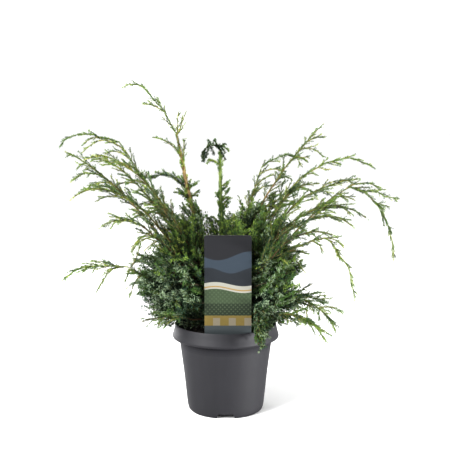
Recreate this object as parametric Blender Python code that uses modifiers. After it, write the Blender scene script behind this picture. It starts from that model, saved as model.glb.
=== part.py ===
"""A spreading blue-green Chinese juniper in a round pot.

Metres, +Z up.  The origin is the centre of the pot's flat underside, the
front of the plant (the side with the card) looks along -Y, and +X is to the
right.  The pot, the growing medium and the card are made at their real
sizes.  Every limb is a curve that leaves the short stem at a height and an
azimuth, starts at one slope and ends at another; the same curves place the
boughs and the masses of foliage round them.
"""
import math

import bmesh
import bpy
from mathutils import Matrix, Vector, noise

# ---- driving sizes ---------------------------------------------------------
POT_STEPS = 24          # sides of the turned solids
POT_HEIGHT = 0.156
RIM_TOP_RADIUS = 0.0902  # outside, at the top edge
RIM_LIP_RADIUS = 0.0952  # outside, at the widest line of the flared rim
RIM_LIP_HEIGHT = 0.1338
SHOULDER_RADIUS = 0.0827  # body, just under the rim
SHOULDER_HEIGHT = 0.1285
HEEL_RADIUS = 0.0688    # body, just over the rounded foot
HEEL_HEIGHT = 0.0120
FOOT_RADIUS = 0.0650    # flat standing ring, outer edge
FOOT_INNER = 0.0500
BOSS_RADIUS = 0.0220    # flat disc in the middle of the underside
RECESS = 0.0076         # the underside between boss and ring is this high
FLOOR_TOP = 0.0098
WALL = 0.0019
NOTCHES = 4             # drain cut-outs through the standing ring
NOTCH_FOOT, NOTCH_TOP, NOTCH_HEIGHT = 0.031, 0.026, 0.0080
HOLES, HOLE_RADIUS, HOLE_CIRCLE = 6, 0.004, 0.036

GAP = 0.0003            # between solids that rest on each other
SOIL_TOP = 0.1420

CARD_X, CARD_Y = 0.0038, -0.0745
CARD_WIDTH, CARD_TOP, CARD_FOOT = 0.0800, 0.3230, 0.1500
CARD_CORNER, CARD_THICK = 0.0045, 0.0008
STAKE_WIDTH, STAKE_TIP = 0.0240, 0.1060

STEM_FOOT = SOIL_TOP + GAP
STEM_TOP = 0.2280
STEM_LEAN = 0.045       # sideways, per metre of height
# height over the soil, radius: flare, shaft and fork of the short stem
STEM_TAPER = ((0.0, 0.0125), (0.006, 0.0102), (0.016, 0.0088),
              (0.038, 0.0078), (0.062, 0.0066), (0.0857, 0.0052))

# ---- limbs -----------------------------------------------------------------
# name: (springs from, height on the stem or share of the limb it leaves,
#        azimuth, first slope, last slope [degrees], length [m], bend: how late
#        the slope changes, half-width of its foliage [m], share left bare)
LIMBS = {
    "left_tall":       ("stem", 0.185, 152, 62, 78, 0.323, 0.6, 0.013, 0.74),
    "left_tall_tip":   ("left_tall", 1.0, 165, 58, -38, 0.146, 3.7, 0.013, 0.0),
    "left_high":       ("stem", 0.175, 172, 62, 56, 0.356, 0.4, 0.018, 0.0),
    "left_high_tip":   ("left_high", 1.0, 180, 18, -66, 0.117, 2.6, 0.013, 0.0),
    "left_inner":      ("stem", 0.180, 204, 60, 0, 0.380, 4.5, 0.016, 0.0),
    "left_rear":       ("stem", 0.170, 142, 49, 0, 0.440, 3.8, 0.018, 0.0),
    "left_mid":        ("stem", 0.165, 188, 52, 22, 0.409, 5.0, 0.016, 0.66),
    "left_mid_fork":   ("left_mid", 0.82, 206, 16, -53, 0.062, 1.7, 0.010, 0.0),
    "left_droop":      ("stem", 0.165, 197, 55, -50, 0.385, 4.9, 0.015, 0.0),
    "left_front":      ("stem", 0.160, 214, 51, -40, 0.330, 4.9, 0.018, 0.0),
    "left_low":        ("stem", 0.152, 200, 32, 34, 0.211, 1.3, 0.016, 0.0),
    "left_low_tip":    ("left_low", 1.0, 190, 5, -68, 0.116, 3.3, 0.013, 0.0),
    "left_skirt":      ("stem", 0.152, 215, 16, -10, 0.178, 2.7, 0.014, 0.0),
    "middle":          ("stem", 0.228, 110, 74, 89, 0.238, 0.5, 0.013, 0.55),
    "middle_nod":      ("middle", 1.0, 205, 80, -89, 0.056, 0.6, 0.011, 0.0),
    "right_inner":     ("stem", 0.185, 32, 77, 68, 0.258, 1.0, 0.014, 0.0),
    "right_inner_tip": ("right_inner", 1.0, 22, 38, -39, 0.101, 1.3, 0.013, 0.0),
    "right_tall":      ("stem", 0.185, 16, 85, 43, 0.381, 0.7, 0.014, 0.0),
    "right_high":      ("stem", 0.180, 0, 64, 23, 0.306, 5.0, 0.016, 0.0),
    "right_high_tip":  ("right_high", 1.0, 4, 31, -38, 0.108, 1.1, 0.013, 0.0),
    "right_rear":      ("stem", 0.172, 24, 62, -3, 0.385, 1.9, 0.016, 0.0),
    "right_arch":      ("stem", 0.170, -14, 51, 29, 0.318, 4.5, 0.014, 0.66),
    "right_arch_tip":  ("right_arch", 1.0, -9, 22, -89, 0.158, 0.4, 0.012, 0.0),
    "right_reach":     ("right_arch", 1.0, 8, -10, -41, 0.090, 4.3, 0.010, 0.0),
    "right_droop":     ("stem", 0.165, -24, 61, -42, 0.363, 2.9, 0.015, 0.0),
    "right_front":     ("stem", 0.160, -36, 57, -41, 0.350, 3.4, 0.015, 0.0),
    "right_front_low": ("stem", 0.158, -47, 51, -15, 0.323, 3.2, 0.015, 0.0),
    "right_low":       ("stem", 0.165, -31, 66, 15, 0.256, 0.9, 0.015, 0.0),
    "right_low_tip":   ("right_low", 1.0, -22, -31, -85, 0.117, 0.7, 0.012, 0.0),
    "right_skirt":     ("stem", 0.155, 14, 68, -14, 0.203, 0.4, 0.016, 0.0),
    "right_foot":      ("stem", 0.154, -18, 31, -73, 0.230, 2.3, 0.014, 0.0),
    "right_foot_fore": ("stem", 0.152, -40, 21, -61, 0.230, 3.0, 0.013, 0.0),
    "back_right":      ("stem", 0.178, 49, 60, -42, 0.385, 2.6, 0.018, 0.0),
    "back_right_low":  ("stem", 0.166, 68, 42, -48, 0.335, 2.2, 0.019, 0.0),
    "back":            ("stem", 0.180, 88, 44, -40, 0.375, 2.0, 0.018, 0.0),
    "back_left_low":   ("stem", 0.168, 104, 36, -52, 0.320, 2.4, 0.019, 0.0),
    "back_left":       ("stem", 0.176, 122, 50, -44, 0.395, 2.2, 0.018, 0.0),
}
# limbs whose wood is thick enough to be a solid of its own: radius at the stem
BOUGHS = {
    "left_tall": 0.0036, "left_high": 0.0032, "left_mid": 0.0032,
    "left_low": 0.0030, "middle": 0.0034, "right_tall": 0.0034,
    "right_high": 0.0032, "right_arch": 0.0034, "back": 0.0032,
}
POINTS = 48             # steps along a limb
RINGS, SIDES = 7, 6     # of a mass of foliage
SHARE = 0.46            # of the way to the next limb that a mass may fill

# ---- heart of the shrub: dense masses round the stem ------------------------
# name: (azimuth, distance from the axis, height, half sizes: outward, across, up)
HEART = {
    "heart_right_rear":  (38, 0.080, 0.232, 0.048, 0.052, 0.075),
    "heart_back":        (92, 0.078, 0.230, 0.050, 0.050, 0.073),
    "heart_left_rear":   (146, 0.084, 0.236, 0.054, 0.054, 0.078),
    "heart_left":        (194, 0.088, 0.242, 0.052, 0.050, 0.083),
    "heart_left_front":  (236, 0.088, 0.222, 0.036, 0.040, 0.064),
    "heart_front":       (277, 0.036, 0.240, 0.034, 0.043, 0.082),
    "heart_right":       (334, 0.086, 0.234, 0.050, 0.054, 0.077),
    "heart_top_left":    (165, 0.042, 0.326, 0.062, 0.052, 0.048),
    "heart_top_right":   (345, 0.046, 0.322, 0.060, 0.052, 0.050),
}
HEART_FLOOR = 0.1585    # they clear the pot's rim
HEART_ROUGH = 0.13
# foliage that hangs over the rim beside the card
FRINGE = ("fringe", 0.066, -0.108, 0.158, 0.019, 0.010, 0.032)

NAME = "blue_juniper_in_pot"


# ---- materials ---------------------------------------------------------------
def material(name, colour, roughness, metallic=0.0):
    mat = bpy.data.materials.new(name)
    mat.use_nodes = True
    bsdf = mat.node_tree.nodes["Principled BSDF"]
    bsdf.inputs["Base Color"].default_value = (*colour, 1.0)
    bsdf.inputs["Roughness"].default_value = roughness
    bsdf.inputs["Metallic"].default_value = metallic
    mat.diffuse_color = (*colour, 1.0)
    return mat


def collection(name):
    made = bpy.data.collections.new(name)
    bpy.context.scene.collection.children.link(made)
    return made


def add(name, data, mat, where):
    obj = bpy.data.objects.new(name, data)
    where.objects.link(obj)
    if mat is not None:
        data.materials.append(mat)
    return obj


def cutter_look(obj):
    obj.hide_render = True
    obj.display_type = "WIRE"
    return obj


def cut(obj, tool):
    mod = obj.modifiers.new("cut_" + tool.name, "BOOLEAN")
    mod.operation = "DIFFERENCE"
    mod.solver = "EXACT"
    mod.object = tool


def smooth(mesh, degrees=35.0):
    mesh.shade_smooth()
    mesh.set_sharp_from_angle(angle=math.radians(degrees))


# ---- turned solids -----------------------------------------------------------
def turned(name, profile, mat, where):
    """Turn an open profile that starts and ends on the axis."""
    bm = bmesh.new()
    verts = [bm.verts.new((r, 0.0, z)) for r, z in profile]
    for a, b in zip(verts, verts[1:]):
        bm.edges.new((a, b))
    mesh = bpy.data.meshes.new(name)
    bm.to_mesh(mesh)
    bm.free()
    obj = add(name, mesh, mat, where)
    mod = obj.modifiers.new("turn", "SCREW")
    mod.axis = "Z"
    mod.steps = POT_STEPS
    mod.render_steps = POT_STEPS
    mod.use_merge_vertices = True
    mod.merge_threshold = 0.00001
    mod.use_smooth_shade = True
    return obj


def pot_outside():
    """The outer side, from the rim's top down to the standing ring."""
    r, z = RIM_LIP_RADIUS, RIM_LIP_HEIGHT
    return [
        (RIM_TOP_RADIUS - 0.0009, POT_HEIGHT),
        (RIM_TOP_RADIUS, POT_HEIGHT - 0.0012),
        (RIM_TOP_RADIUS + 0.0020, z + 0.011),
        (r, z + 0.0012),
        (r - 0.0004, z - 0.0012),
        (r - 0.0018, z - 0.0028),
        (r - 0.0038, z - 0.0034),
        (SHOULDER_RADIUS + 0.0016, SHOULDER_HEIGHT + 0.0015),
        (SHOULDER_RADIUS, SHOULDER_HEIGHT),
        (0.5 * (SHOULDER_RADIUS + HEEL_RADIUS) - 0.0006,
         0.5 * (SHOULDER_HEIGHT + HEEL_HEIGHT)),
        (HEEL_RADIUS, HEEL_HEIGHT),
        (HEEL_RADIUS - 0.0009, HEEL_HEIGHT * 0.50),
        (HEEL_RADIUS - 0.0022, HEEL_HEIGHT * 0.15),
        (FOOT_RADIUS, 0.0),
    ]


def pot_inside():
    """The inner side, from the floor's edge up to the rim."""
    r, z = RIM_LIP_RADIUS, RIM_LIP_HEIGHT
    return [
        (HEEL_RADIUS - WALL - 0.0020, FLOOR_TOP),
        (HEEL_RADIUS - WALL, FLOOR_TOP + 0.0035),
        (0.5 * (SHOULDER_RADIUS + HEEL_RADIUS) - 0.0006 - WALL,
         0.5 * (SHOULDER_HEIGHT + HEEL_HEIGHT)),
        (SHOULDER_RADIUS - WALL, SHOULDER_HEIGHT + 0.0012),
        (SHOULDER_RADIUS + 0.0004, SHOULDER_HEIGHT + 0.0035),
        (r - 0.0046, z - 0.0013),
        (r - WALL, z + 0.0014),
        (RIM_TOP_RADIUS + 0.0020 - WALL, z + 0.011),
        (RIM_TOP_RADIUS - WALL, POT_HEIGHT - 0.0006),
    ]


def make_pot(mat, where, tools):
    profile = ([(0.0, FLOOR_TOP)] + pot_inside() + pot_outside()
               + [(FOOT_INNER + 0.0015, 0.0), (FOOT_INNER, RECESS),
                  (BOSS_RADIUS + 0.0015, RECESS), (BOSS_RADIUS, 0.0), (0.0, 0.0)])
    pot = turned("pot", profile, mat, where)

    bm = bmesh.new()
    for i in range(NOTCHES):
        # a tapered block through the standing ring, wide at the foot
        made = bmesh.ops.create_cube(bm, size=1.0)["verts"]
        for v in made:
            half = NOTCH_FOOT if v.co.z < 0 else NOTCH_TOP
            wide = half * (1.0 + (0.16 if v.co.z < 0 else 0.0))
            v.co = Vector((v.co.x * wide, v.co.y * 0.030 - 0.062,
                           NOTCH_HEIGHT if v.co.z > 0 else -0.0011))
        turn = Matrix.Rotation(2 * math.pi * i / NOTCHES, 3, "Z")
        bmesh.ops.rotate(bm, verts=made, cent=(0, 0, 0), matrix=turn)
    for i in range(HOLES):
        angle = 2 * math.pi * (i + 0.5) / HOLES
        place = Matrix.Translation((HOLE_CIRCLE * math.cos(angle),
                                    HOLE_CIRCLE * math.sin(angle), FLOOR_TOP - 0.001))
        bmesh.ops.create_cone(bm, cap_ends=True, segments=8, radius1=HOLE_RADIUS,
                              radius2=HOLE_RADIUS, depth=0.008, matrix=place)
    mesh = bpy.data.meshes.new("pot_drains")
    bm.to_mesh(mesh)
    bm.free()
    drains = cutter_look(add("pot_drains", mesh, None, tools))
    cut(pot, drains)
    return pot


def make_soil(mat, where, tools):
    inner = [(r - GAP - 0.0002, z + GAP) for r, z in pot_inside() if z < SOIL_TOP - 0.002]
    inner[0] = (inner[0][0], FLOOR_TOP + GAP)
    # the wall leans between its last two lines, so the top edge follows it
    (ra, za), (rb, zb) = pot_inside()[-3], pot_inside()[-2]
    share = min(1.0, (SOIL_TOP - za) / (zb - za))
    rim = ra + (rb - ra) * share - GAP - 0.0002
    profile = ([(0.0, SOIL_TOP), (rim * 0.5, SOIL_TOP), (rim, SOIL_TOP)]
               + inner[::-1] + [(0.0, FLOOR_TOP + GAP)])
    soil = turned("growing_medium", profile, mat, where)
    bm = bmesh.new()
    made = bmesh.ops.create_cube(bm, size=1.0)["verts"]
    low, high = STAKE_TIP - GAP, SOIL_TOP + 0.004
    for v in made:
        v.co = Vector((CARD_X + v.co.x * (STAKE_WIDTH + 2 * GAP),
                       CARD_Y + v.co.y * (CARD_THICK + 2 * GAP),
                       (low + high) / 2 + v.co.z * (high - low)))
    mesh = bpy.data.meshes.new("card_slot")
    bm.to_mesh(mesh)
    bm.free()
    cut(soil, cutter_look(add("card_slot", mesh, None, tools)))
    return soil


def make_card(mat, where):
    """A flat card with rounded top corners on a narrow stake."""
    w, s, c = CARD_WIDTH / 2, STAKE_WIDTH / 2, CARD_CORNER
    outline = [(-s, STAKE_TIP + 0.010), (-s * 0.35, STAKE_TIP), (s * 0.35, STAKE_TIP),
               (s, STAKE_TIP + 0.010), (s, CARD_FOOT - 0.004), (w - 0.002, CARD_FOOT),
               (w, CARD_FOOT + 0.002)]
    for side in (1, -1):
        for i in range(5):
            a = math.radians(90.0 * i / 4)
            a = a if side > 0 else math.pi / 2 - a
            outline.append((side * (w - c + c * math.cos(a)),
                            CARD_TOP - c + c * math.sin(a)))
    outline += [(-w, CARD_FOOT + 0.002), (-w + 0.002, CARD_FOOT), (-s, CARD_FOOT - 0.004)]
    curve = bpy.data.curves.new("plant_card", "CURVE")
    curve.dimensions = "2D"
    curve.fill_mode = "BOTH"
    curve.extrude = CARD_THICK / 2
    spline = curve.splines.new("POLY")
    spline.points.add(len(outline) - 1)
    for point, (x, y) in zip(spline.points, outline):
        point.co = (x, y, 0.0, 1.0)
    spline.use_cyclic_u = True
    obj = add("plant_card", curve, mat, where)
    obj.rotation_euler = (math.pi / 2, 0.0, 0.0)
    obj.location = (CARD_X, CARD_Y, 0.0)
    return obj


# ---- limbs -------------------------------------------------------------------
def stem_axis(z):
    lean = STEM_LEAN * (z - STEM_FOOT)
    return Vector((-0.4 * lean, 0.9 * lean, z))


def stem_radius(z):
    h = max(0.0, z - STEM_FOOT)
    for (h0, r0), (h1, r1) in zip(STEM_TAPER, STEM_TAPER[1:]):
        if h <= h1:
            return r0 + (r1 - r0) * (h - h0) / (h1 - h0)
    return 0.0 if h > STEM_TAPER[-1][0] + 0.002 else STEM_TAPER[-1][1]


def limb_curve(name, made):
    """Points, tangents and sideways directions along a limb."""
    source, at, azimuth, first, last, length, bend = LIMBS[name][:7]
    if source == "stem":
        start = stem_axis(at)
        if at >= STEM_TOP:
            start = stem_axis(STEM_TOP) + Vector((0, 0, 0.0008))
    else:
        line = made[source][0]
        start = line[round(at * (len(line) - 1))].copy()
    a = math.radians(azimuth)
    points, tangents = [start], []
    for i in range(POINTS):
        t = (i + 0.5) / POINTS
        e = math.radians(first + (last - first) * t ** bend)
        d = Vector((math.cos(e) * math.cos(a), math.cos(e) * math.sin(a), math.sin(e)))
        points.append(points[-1] + d * (length / POINTS))
        tangents.append(d)
    tangents.append(tangents[-1])
    return points, tangents, Vector((-math.sin(a), math.cos(a), 0.0))


def heart_depth(point, spec):
    """How far outside a heart mass a point is, in metres (rough, at least)."""
    azimuth, out, height, ra, rb, rc = spec
    a = math.radians(azimuth)
    d = point - Vector((out * math.cos(a), out * math.sin(a), height))
    local = Vector(((d.x * math.cos(a) + d.y * math.sin(a)) / ra,
                    (-d.x * math.sin(a) + d.y * math.cos(a)) / rb, d.z / rc))
    return (local.length - 1.0 - HEART_ROUGH * 0.7) * min(ra, rb, rc)


def pot_gap(point):
    """Distance outside the pot's rim, for a point beside or over it."""
    r = math.hypot(point.x, point.y)
    if point.z > POT_HEIGHT:
        return point.z - POT_HEIGHT if r < RIM_LIP_RADIUS else math.hypot(
            point.z - POT_HEIGHT, r - RIM_LIP_RADIUS)
    return max(0.0, r - RIM_LIP_RADIUS)


def card_gap(point):
    dx = max(0.0, abs(point.x - CARD_X) - CARD_WIDTH / 2)
    dz = max(0.0, point.z - CARD_TOP)
    dy = abs(point.y - CARD_Y) - CARD_THICK
    return math.hypot(dx, dz) if dy <= 0 else math.sqrt(dx * dx + dz * dz + dy * dy)


def nearest(point, cloud):
    return min((point - q).length for q in cloud) if cloud else 1.0


class Crown:
    """Every limb's curve, the share of it that carries foliage, and the wood."""

    def __init__(self):
        self.line, self.first, self.wood = {}, {}, {}
        for name in LIMBS:
            self.line[name] = limb_curve(name, self.line)
        for name, spec in LIMBS.items():
            points = self.line[name][0]
            start = int(spec[8] * POINTS)
            if spec[0] == "stem":
                inside = [i for i, p in enumerate(points)
                          if min(heart_depth(p, h) for h in HEART.values()) < 0.0015]
                start = max([start] + [i + 1 for i in inside])
                start = min(start, POINTS - 7)
            elif spec[1] < 1.0:
                trunk = self.line[spec[0]][0]
                while nearest(points[start], trunk) < LIMBS[spec[0]][7] * 0.75:
                    start += 1
            self.first[name] = start
        for name, radius in BOUGHS.items():
            self.wood[name] = self.bough_run(name, radius)

    def foliage(self, name):
        return self.line[name][0][self.first[name]:]

    def bough_run(self, name, radius):
        """Centre points and radii of the bare wood, from the stem to its mass."""
        points = self.line[name][0]
        end = self.first[name]
        run = []
        for i in range(end + 1):
            p = points[i]
            r = radius * (1.0 - 0.55 * i / max(1, end))
            axis = stem_axis(min(p.z, STEM_TOP))
            away = math.hypot(p.x - axis.x, p.y - axis.y)
            slope = abs(self.line[name][1][i].z)
            if LIMBS[name][1] < STEM_TOP and away < stem_radius(p.z) + r * slope + 0.0007:
                run = []
                continue
            run.append((p, r))
        # stop just short of the mass
        last, tangent = run[-1][0], self.line[name][1][end]
        run[-1] = (last - tangent * 0.0007, run[-1][1])
        keep = [run[round(i * (len(run) - 1) / 7)] for i in range(8)]
        return keep

    def settle_wood(self):
        """Boughs that rise side by side share the room between them."""
        for name, run in self.wood.items():
            slim = []
            for p, r in run:
                for other, there in self.wood.items():
                    if other != name:
                        for q, s in zip(there, there[1:]):
                            d = segment_gap(p, q[0], s[0])
                            r = min(r, max(0.0007, SHARE * d))
                slim.append((p, r))
            self.wood[name] = slim

    def half_width(self, name, point, share):
        """Foliage half-width at a share of the way along its own mass."""
        want = LIMBS[name][7]
        shape = min(1.0, 0.45 + 2.6 * share) * (1.0 - share) ** 0.42
        width = want * shape
        for other in LIMBS:
            if other != name:
                width = min(width, SHARE * nearest(point, self.foliage(other)))
        for other, run in self.wood.items():
            if other == name:
                continue
            for a, b in zip(run, run[1:]):
                width = min(width, 0.92 * (segment_gap(point, a[0], b[0]) - a[1]))
        for spec in HEART.values():
            width = min(width, max(0.0009, 0.85 * heart_depth(point, spec)))
        fringe = (Vector(FRINGE[1:4]) - point).length - 0.022
        width = min(width, max(0.0009, 0.9 * fringe) if fringe < 0.05 else width)
        width = min(width, 0.8 * pot_gap(point), 0.8 * card_gap(point))
        return max(0.0008, width)


def segment_gap(p, a, b):
    ab = b - a
    t = 0.0 if ab.length_squared == 0 else max(0.0, min(1.0, (p - a).dot(ab) / ab.length_squared))
    return (p - (a + ab * t)).length


def tube(name, run, extra, mat, where):
    """A tapering limb: a poly curve with a radius at every point."""
    curve = bpy.data.curves.new(name, "CURVE")
    curve.dimensions = "3D"
    curve.bevel_depth = 1.0
    curve.bevel_resolution = 1
    curve.use_fill_caps = True
    spline = curve.splines.new("POLY")
    spline.points.add(len(run) - 1)
    for point, (p, r) in zip(spline.points, run):
        point.co = (*p, 1.0)
        point.radius = r + extra
    return add(name, curve, mat, where)


def tube_tool(name, run, extra, where):
    """The same limb, a little fatter, as a closed mesh to cut with."""
    obj = tube(name + "_curve", run, extra, None, where)
    bpy.context.view_layer.update()
    seen = obj.evaluated_get(bpy.context.evaluated_depsgraph_get())
    mesh = bpy.data.meshes.new_from_object(seen)
    bm = bmesh.new()
    bm.from_mesh(mesh)
    bmesh.ops.remove_doubles(bm, verts=bm.verts, dist=0.00001)
    bmesh.ops.recalc_face_normals(bm, faces=bm.faces)
    bm.to_mesh(mesh)
    bm.free()
    made = cutter_look(add(name + "_room", mesh, None, where))
    made.matrix_world = obj.matrix_world
    bpy.data.objects.remove(obj)
    return made


def stem_run():
    run = [(stem_axis(STEM_FOOT + h), r) for h, r in STEM_TAPER]
    # the flare stands square on the ground, so its cut face is level
    run[1] = (Vector((run[0][0].x, run[0][0].y, run[1][0].z)), run[1][1])
    return run


def make_stem(mat, where):
    stem = tube("stem", stem_run(), 0.0, mat, where)
    stem.data.bevel_resolution = 3
    return stem


def make_spray(crown, name, mat, where):
    """A bent, tapering mass of foliage round the outer part of one limb."""
    points, tangents, side = crown.line[name]
    first = crown.first[name]
    span = POINTS - first
    bm = bmesh.new()
    bmesh.ops.create_uvsphere(bm, u_segments=SIDES, v_segments=RINGS, radius=1.0)
    widths = {}
    for v in bm.verts:
        share = math.acos(max(-1.0, min(1.0, -v.co.z))) / math.pi
        ring = round(share * RINGS)
        at = first + share * span
        i = min(int(at), POINTS - 1)
        f = at - i
        centre = points[i].lerp(points[i + 1], f)
        tangent = tangents[min(i, POINTS - 1)]
        up = tangent.cross(side)
        flat = Vector((v.co.x, v.co.y))
        if flat.length < 1e-4:
            v.co = centre + (tangent * 0.0006 if ring == 0 and crown.first[name] == 0
                             else Vector())
            continue
        if ring not in widths:
            widths[ring] = crown.half_width(name, centre, share)
        flat.normalize()
        uneven = 0.87 + 0.13 * noise.noise(Vector((flat.x * 1.7, flat.y * 1.7, ring * 1.9))
                                           + Vector((len(name), first, 0.5)))
        w = widths[ring] * uneven
        v.co = centre + side * (flat.x * w) + up * (flat.y * w * 0.72)
    mesh = bpy.data.meshes.new("spray_" + name)
    bm.to_mesh(mesh)
    bm.free()
    return add("spray_" + name, mesh, mat, where)


def heart_centre(spec):
    a = math.radians(spec[0])
    return Vector((spec[1] * math.cos(a), spec[1] * math.sin(a), spec[2]))


def cut_plane(bm, point, normal):
    """Keep what lies behind the plane, and close the cut."""
    geom = bm.verts[:] + bm.edges[:] + bm.faces[:]
    done = bmesh.ops.bisect_plane(bm, geom=geom, dist=0.00002, plane_co=point,
                                  plane_no=normal, clear_outer=True)
    edges = [e for e in done["geom_cut"] if isinstance(e, bmesh.types.BMEdge)]
    if edges:
        bmesh.ops.holes_fill(bm, edges=edges, sides=0)


def make_heart(name, mat, where, tools):
    """One dense, uneven mass round the stem, cut back from its neighbours."""
    azimuth, out, height, ra, rb, rc = HEART[name]
    turn = Matrix.Rotation(math.radians(azimuth), 3, "Z")
    centre = heart_centre(HEART[name])
    bm = bmesh.new()
    bmesh.ops.create_icosphere(bm, subdivisions=3, radius=1.0)
    for v in bm.verts:
        d = v.co.normalized()
        lump = noise.fractal(d * 2.3 + Vector((azimuth * 0.13, out * 31.0, height * 17.0)),
                             0.8, 2.0, 3)
        r = 1.0 + HEART_ROUGH * max(-1.0, min(0.7, lump))
        v.co = centre + turn @ Vector((d.x * ra * r, d.y * rb * r, d.z * rc * r))
    for other, spec in HEART.items():
        if other == name:
            continue
        there = heart_centre(spec)
        mine = sum((ra, rb, rc)) / 3
        theirs = sum(spec[3:6]) / 3
        normal = (there - centre).normalized()
        reach = (there - centre).length
        if reach > 1.35 * (mine + theirs):
            continue
        split = 0.5 * (reach + (mine ** 2 - theirs ** 2) / reach)
        cut_plane(bm, centre + normal * (split - GAP * 0.7), normal)
    cut_plane(bm, Vector((0, 0, HEART_FLOOR)), Vector((0, 0, -1)))
    left, right = CARD_X - CARD_WIDTH / 2, CARD_X + CARD_WIDTH / 2
    if name == "heart_front":
        cut_plane(bm, Vector((0, CARD_Y + 0.0022, 0)), Vector((0, -1, 0)))
    elif centre.y < 0 and centre.x < left:
        cut_plane(bm, Vector((left - 0.0015, CARD_Y, 0)), Vector((1, -0.15, 0)))
    elif centre.y < 0 and centre.x > right:
        cut_plane(bm, Vector((right + 0.0015, CARD_Y, 0)), Vector((-1, -0.15, 0)))
    mesh = bpy.data.meshes.new(name)
    bm.to_mesh(mesh)
    bm.free()
    obj = add(name, mesh, mat, where)
    for tool in tools:
        if boxes_meet(obj, tool):
            cut(obj, tool)
    return obj


def boxes_meet(one, two):
    a = [v.co for v in one.data.vertices]
    b = [v.co for v in two.data.vertices]
    for k in range(3):
        if min(p[k] for p in a) > max(p[k] for p in b) or min(p[k] for p in b) > max(p[k] for p in a):
            return False
    return True


def make_fringe(mat, where):
    name, x, y, z, a, b, c = FRINGE
    bm = bmesh.new()
    bmesh.ops.create_icosphere(bm, subdivisions=2, radius=1.0)
    turn = Matrix.Rotation(math.atan2(y, x) + math.pi / 2, 3, "Z")
    for v in bm.verts:
        d = v.co.normalized()
        r = 1.0 + 0.10 * noise.noise(d * 2.1 + Vector((3.0, 1.0, 7.0)))
        v.co = Vector((x, y, z)) + turn @ Vector((d.x * a * r, d.y * b * r, d.z * c * r))
    mesh = bpy.data.meshes.new(name)
    bm.to_mesh(mesh)
    bm.free()
    return add(name, mesh, mat, where)


def main():
    for obj in list(bpy.data.objects):
        bpy.data.objects.remove(obj)
    where = collection(NAME)
    tools = collection(NAME + "_cutters")

    plastic = material("pot_plastic", (0.055, 0.057, 0.066), 0.55)
    medium = material("peat", (0.030, 0.020, 0.013), 0.95)
    print_ = material("card_print", (0.045, 0.048, 0.055), 0.40)
    bark = material("bark", (0.26, 0.16, 0.09), 0.80)
    leaf = material("juniper_foliage", (0.060, 0.115, 0.070), 0.70)

    make_pot(plastic, where, tools)
    make_soil(medium, where, tools)
    make_card(print_, where)
    make_stem(bark, where)

    crown = Crown()
    crown.settle_wood()
    rooms = [tube_tool("stem", stem_run(), GAP + 0.0003, tools)]
    for name in BOUGHS:
        run = crown.wood[name]
        tube("bough_" + name, run, 0.0, bark, where)
        rooms.append(tube_tool(name, run, GAP + 0.0003, tools))
    for name in LIMBS:
        make_spray(crown, name, leaf, where)
    for name in HEART:
        make_heart(name, leaf, where, rooms)
    make_fringe(leaf, where)


main()
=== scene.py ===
import math

import bmesh
import bpy
import numpy as np
from mathutils import Matrix, Vector, noise


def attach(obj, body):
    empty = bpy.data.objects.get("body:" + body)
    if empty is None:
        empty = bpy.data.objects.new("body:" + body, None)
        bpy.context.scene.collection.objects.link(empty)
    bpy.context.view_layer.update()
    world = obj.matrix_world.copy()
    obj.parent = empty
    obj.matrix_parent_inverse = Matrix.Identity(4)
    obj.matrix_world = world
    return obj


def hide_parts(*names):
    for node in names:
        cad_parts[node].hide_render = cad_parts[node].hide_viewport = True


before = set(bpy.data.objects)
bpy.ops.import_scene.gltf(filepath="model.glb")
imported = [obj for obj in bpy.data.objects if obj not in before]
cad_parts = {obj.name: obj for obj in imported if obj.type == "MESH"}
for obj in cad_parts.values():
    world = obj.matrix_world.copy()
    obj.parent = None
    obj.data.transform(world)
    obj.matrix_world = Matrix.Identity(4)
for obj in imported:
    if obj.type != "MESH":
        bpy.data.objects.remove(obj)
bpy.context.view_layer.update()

rng = np.random.default_rng(20417)
D = bpy.data
scene = bpy.context.scene


# =============================================================================
# colours and materials
# =============================================================================
def linear(r, g, b):
    """sRGB numbers from 0 to 255 as the linear colour a shader takes."""
    out = []
    for c in (r, g, b):
        c /= 255.0
        out.append(c / 12.92 if c <= 0.04045 else ((c + 0.055) / 1.055) ** 2.4)
    return (*out, 1.0)


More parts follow.
